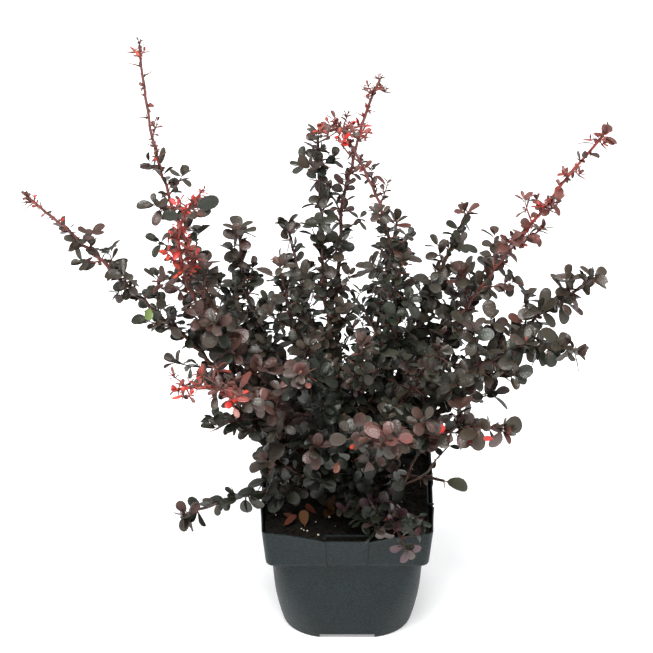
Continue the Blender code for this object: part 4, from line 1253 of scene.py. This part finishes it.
def make_compost():
    """The crumbly top of the compost, closed below, its corners round as the pot's."""
    half = POT_WIDTH / 2 - WALL - BED_GAP
    bm = bmesh.new()
    grid = []
    for row in range(BED_CELLS + 1):
        line = []
        for column in range(BED_CELLS + 1):
            x, y = ((i / BED_CELLS * 2 - 1) * half for i in (column, row))
            out = max(abs(x), abs(y)) / half
            into = Vector((abs(x) - half + BED_CORNER, abs(y) - half + BED_CORNER))
            if min(into) > 0:
                moved = into * max(into) / into.length - into
                x += moved.x if x > 0 else -moved.x
                y += moved.y if y > 0 else -moved.y
            place = Vector((x, y, 0))
            lumps = noise.fractal(place * LUMPS[0], 1.0, 2.0, 4) * LUMPS[1]
            lumps += noise.noise(place * CRUMBS[0]) * CRUMBS[1]
            mound = COMPOST_MOUND * max(0.0, 1 - out**2)
            z = COMPOST_TOP + mound - BED_SUNK + lumps * min(1.0, (1.02 - out) * 12)
            line.append(bm.verts.new((x, y, z)))
        grid.append(line)
    for low, high in zip(grid, grid[1:]):
        for i in range(BED_CELLS):
            bm.faces.new((low[i], low[i + 1], high[i + 1], high[i]))
    rim = grid[0] + [line[-1] for line in grid[1:]] + grid[-1][-2::-1] + [line[0] for line in grid[-2:0:-1]]
    deep = [bm.verts.new((v.co.x * BED_TAPER, v.co.y * BED_TAPER, COMPOST_TOP - BED_DEPTH)) for v in rim]
    bridge(bm, deep, rim)
    bm.faces.new(deep)
    return smooth(mesh_from(bm, "compost_bed"))


def make_potful(tree):
    """The pot, its compost and what lies strewn on it."""
    pot = link("nursery_pot", make_pot(), pot_finish())
    hand_over(pot, "pot", "pot")
    bed = link("compost_bed", make_compost(), compost_finish())
    hand_over(bed, "compost", "compost")
    rng = random.Random(SEED)
    half = POT_WIDTH / 2 - 0.005
    crumbs = shape_collection("crumb", [crumb_shape(i, rng) for i in range(5)])
    for name, label, colour, count, small, large, roughness, spread in STREWN:
        spots = []
        for _ in range(count):
            x, y = rng.uniform(-half * spread, half * spread), rng.uniform(-half * spread, half * spread)
            out = max(abs(x), abs(y)) / half
            z = COMPOST_TOP + COMPOST_MOUND * max(0.0, 1 - out**2) + rng.uniform(-0.0008, 0.0006)
            angle, axis = rng.uniform(0, 6.28), Vector((rng.random(), rng.random(), 1)).normalized()
            turn = Matrix.Rotation(angle, 3, axis)
            size = small + (large - small) * rng.random() ** 2
            scale = (size * rng.uniform(0.7, 1.3), size, size * rng.uniform(0.5, 0.9))
            spots.append(Spot(Vector((x, y, z)), turn.to_quaternion(), scale, rng.randrange(5)))
        if name == "perlite":
            for x, y, size in LARGE_PERLITE:
                spots.append(Spot(Vector((x, y, COMPOST_TOP + COMPOST_MOUND)), (1, 0, 0, 0), (size,) * 3, 1))
        finish = plain_finish(label, colour, roughness)
        hand_over(place_shapes(name, spots, crumbs, finish, tree), "compost")
    litter = shape_collection("litter", [leaf_shape(i, *shape) for i, shape in enumerate(LITTER_SHAPES)])
    for name, colour, places in LITTER:
        spots = []
        for x, y, angle, tilt, length in places:
            turn = Matrix.Rotation(math.radians(angle), 3, "Z") @ Matrix.Rotation(math.radians(tilt), 3, "X")
            root = Vector((x, y, COMPOST_TOP + COMPOST_MOUND))
            spots.append(Spot(root, turn.to_quaternion(), (length,) * 3, len(spots) % 2))
        finish = plain_finish(f"withered barberry leaf {colour}", colour, 0.7)
        hand_over(place_shapes(name, spots, litter, finish, tree), "foliage")


def aim(obj, place, direction):
    """Sets a light or camera at a place, looking this way."""
    obj.location = place
    obj.rotation_mode = "QUATERNION"
    obj.rotation_quaternion = direction.to_track_quat("-Z", "Y")


def make_stage():
    """A backlit white floor, a broad soft key light with a weak fill, and a long lens."""
    bm = bmesh.new()
    bmesh.ops.create_grid(bm, x_segments=1, y_segments=1, size=9.0)
    acrylic = plain_finish("backlit white acrylic", "#f6f7f8", 0.9)
    glow = acrylic.node_tree.nodes["Principled BSDF"].inputs
    glow["Emission Color"].default_value = linear("#ffffff")
    glow["Emission Strength"].default_value = FLOOR_GLOW
    link("studio_floor", mesh_from(bm, "studio_floor", closed=False), acrylic)
    world = bpy.data.worlds.new("white studio")
    bpy.context.scene.world = world
    world.use_nodes = True
    sky = world.node_tree.nodes["Background"].inputs
    sky["Color"].default_value = linear("#ffffff")
    sky["Strength"].default_value = SKY_LIGHT
    for name, place, size, power in LIGHTS:
        light = bpy.data.lights.new(name, "AREA")
        light.shape = "SQUARE"
        light.size = size
        light.energy = power
        aim(link(name, light), place, TARGET - Vector(place))
    lens = bpy.data.cameras.new("camera")
    lens.sensor_width = SENSOR
    lens.lens = LENS
    lens.clip_end = 50.0
    camera = link("camera", lens)
    aim(camera, TARGET - SIGHT * DISTANCE, SIGHT)
    bpy.context.scene.camera = camera
    bpy.context.scene.view_settings.view_transform = "Standard"


placing = placing_tree()
make_stage()
make_plant(placing)
make_potful(placing)
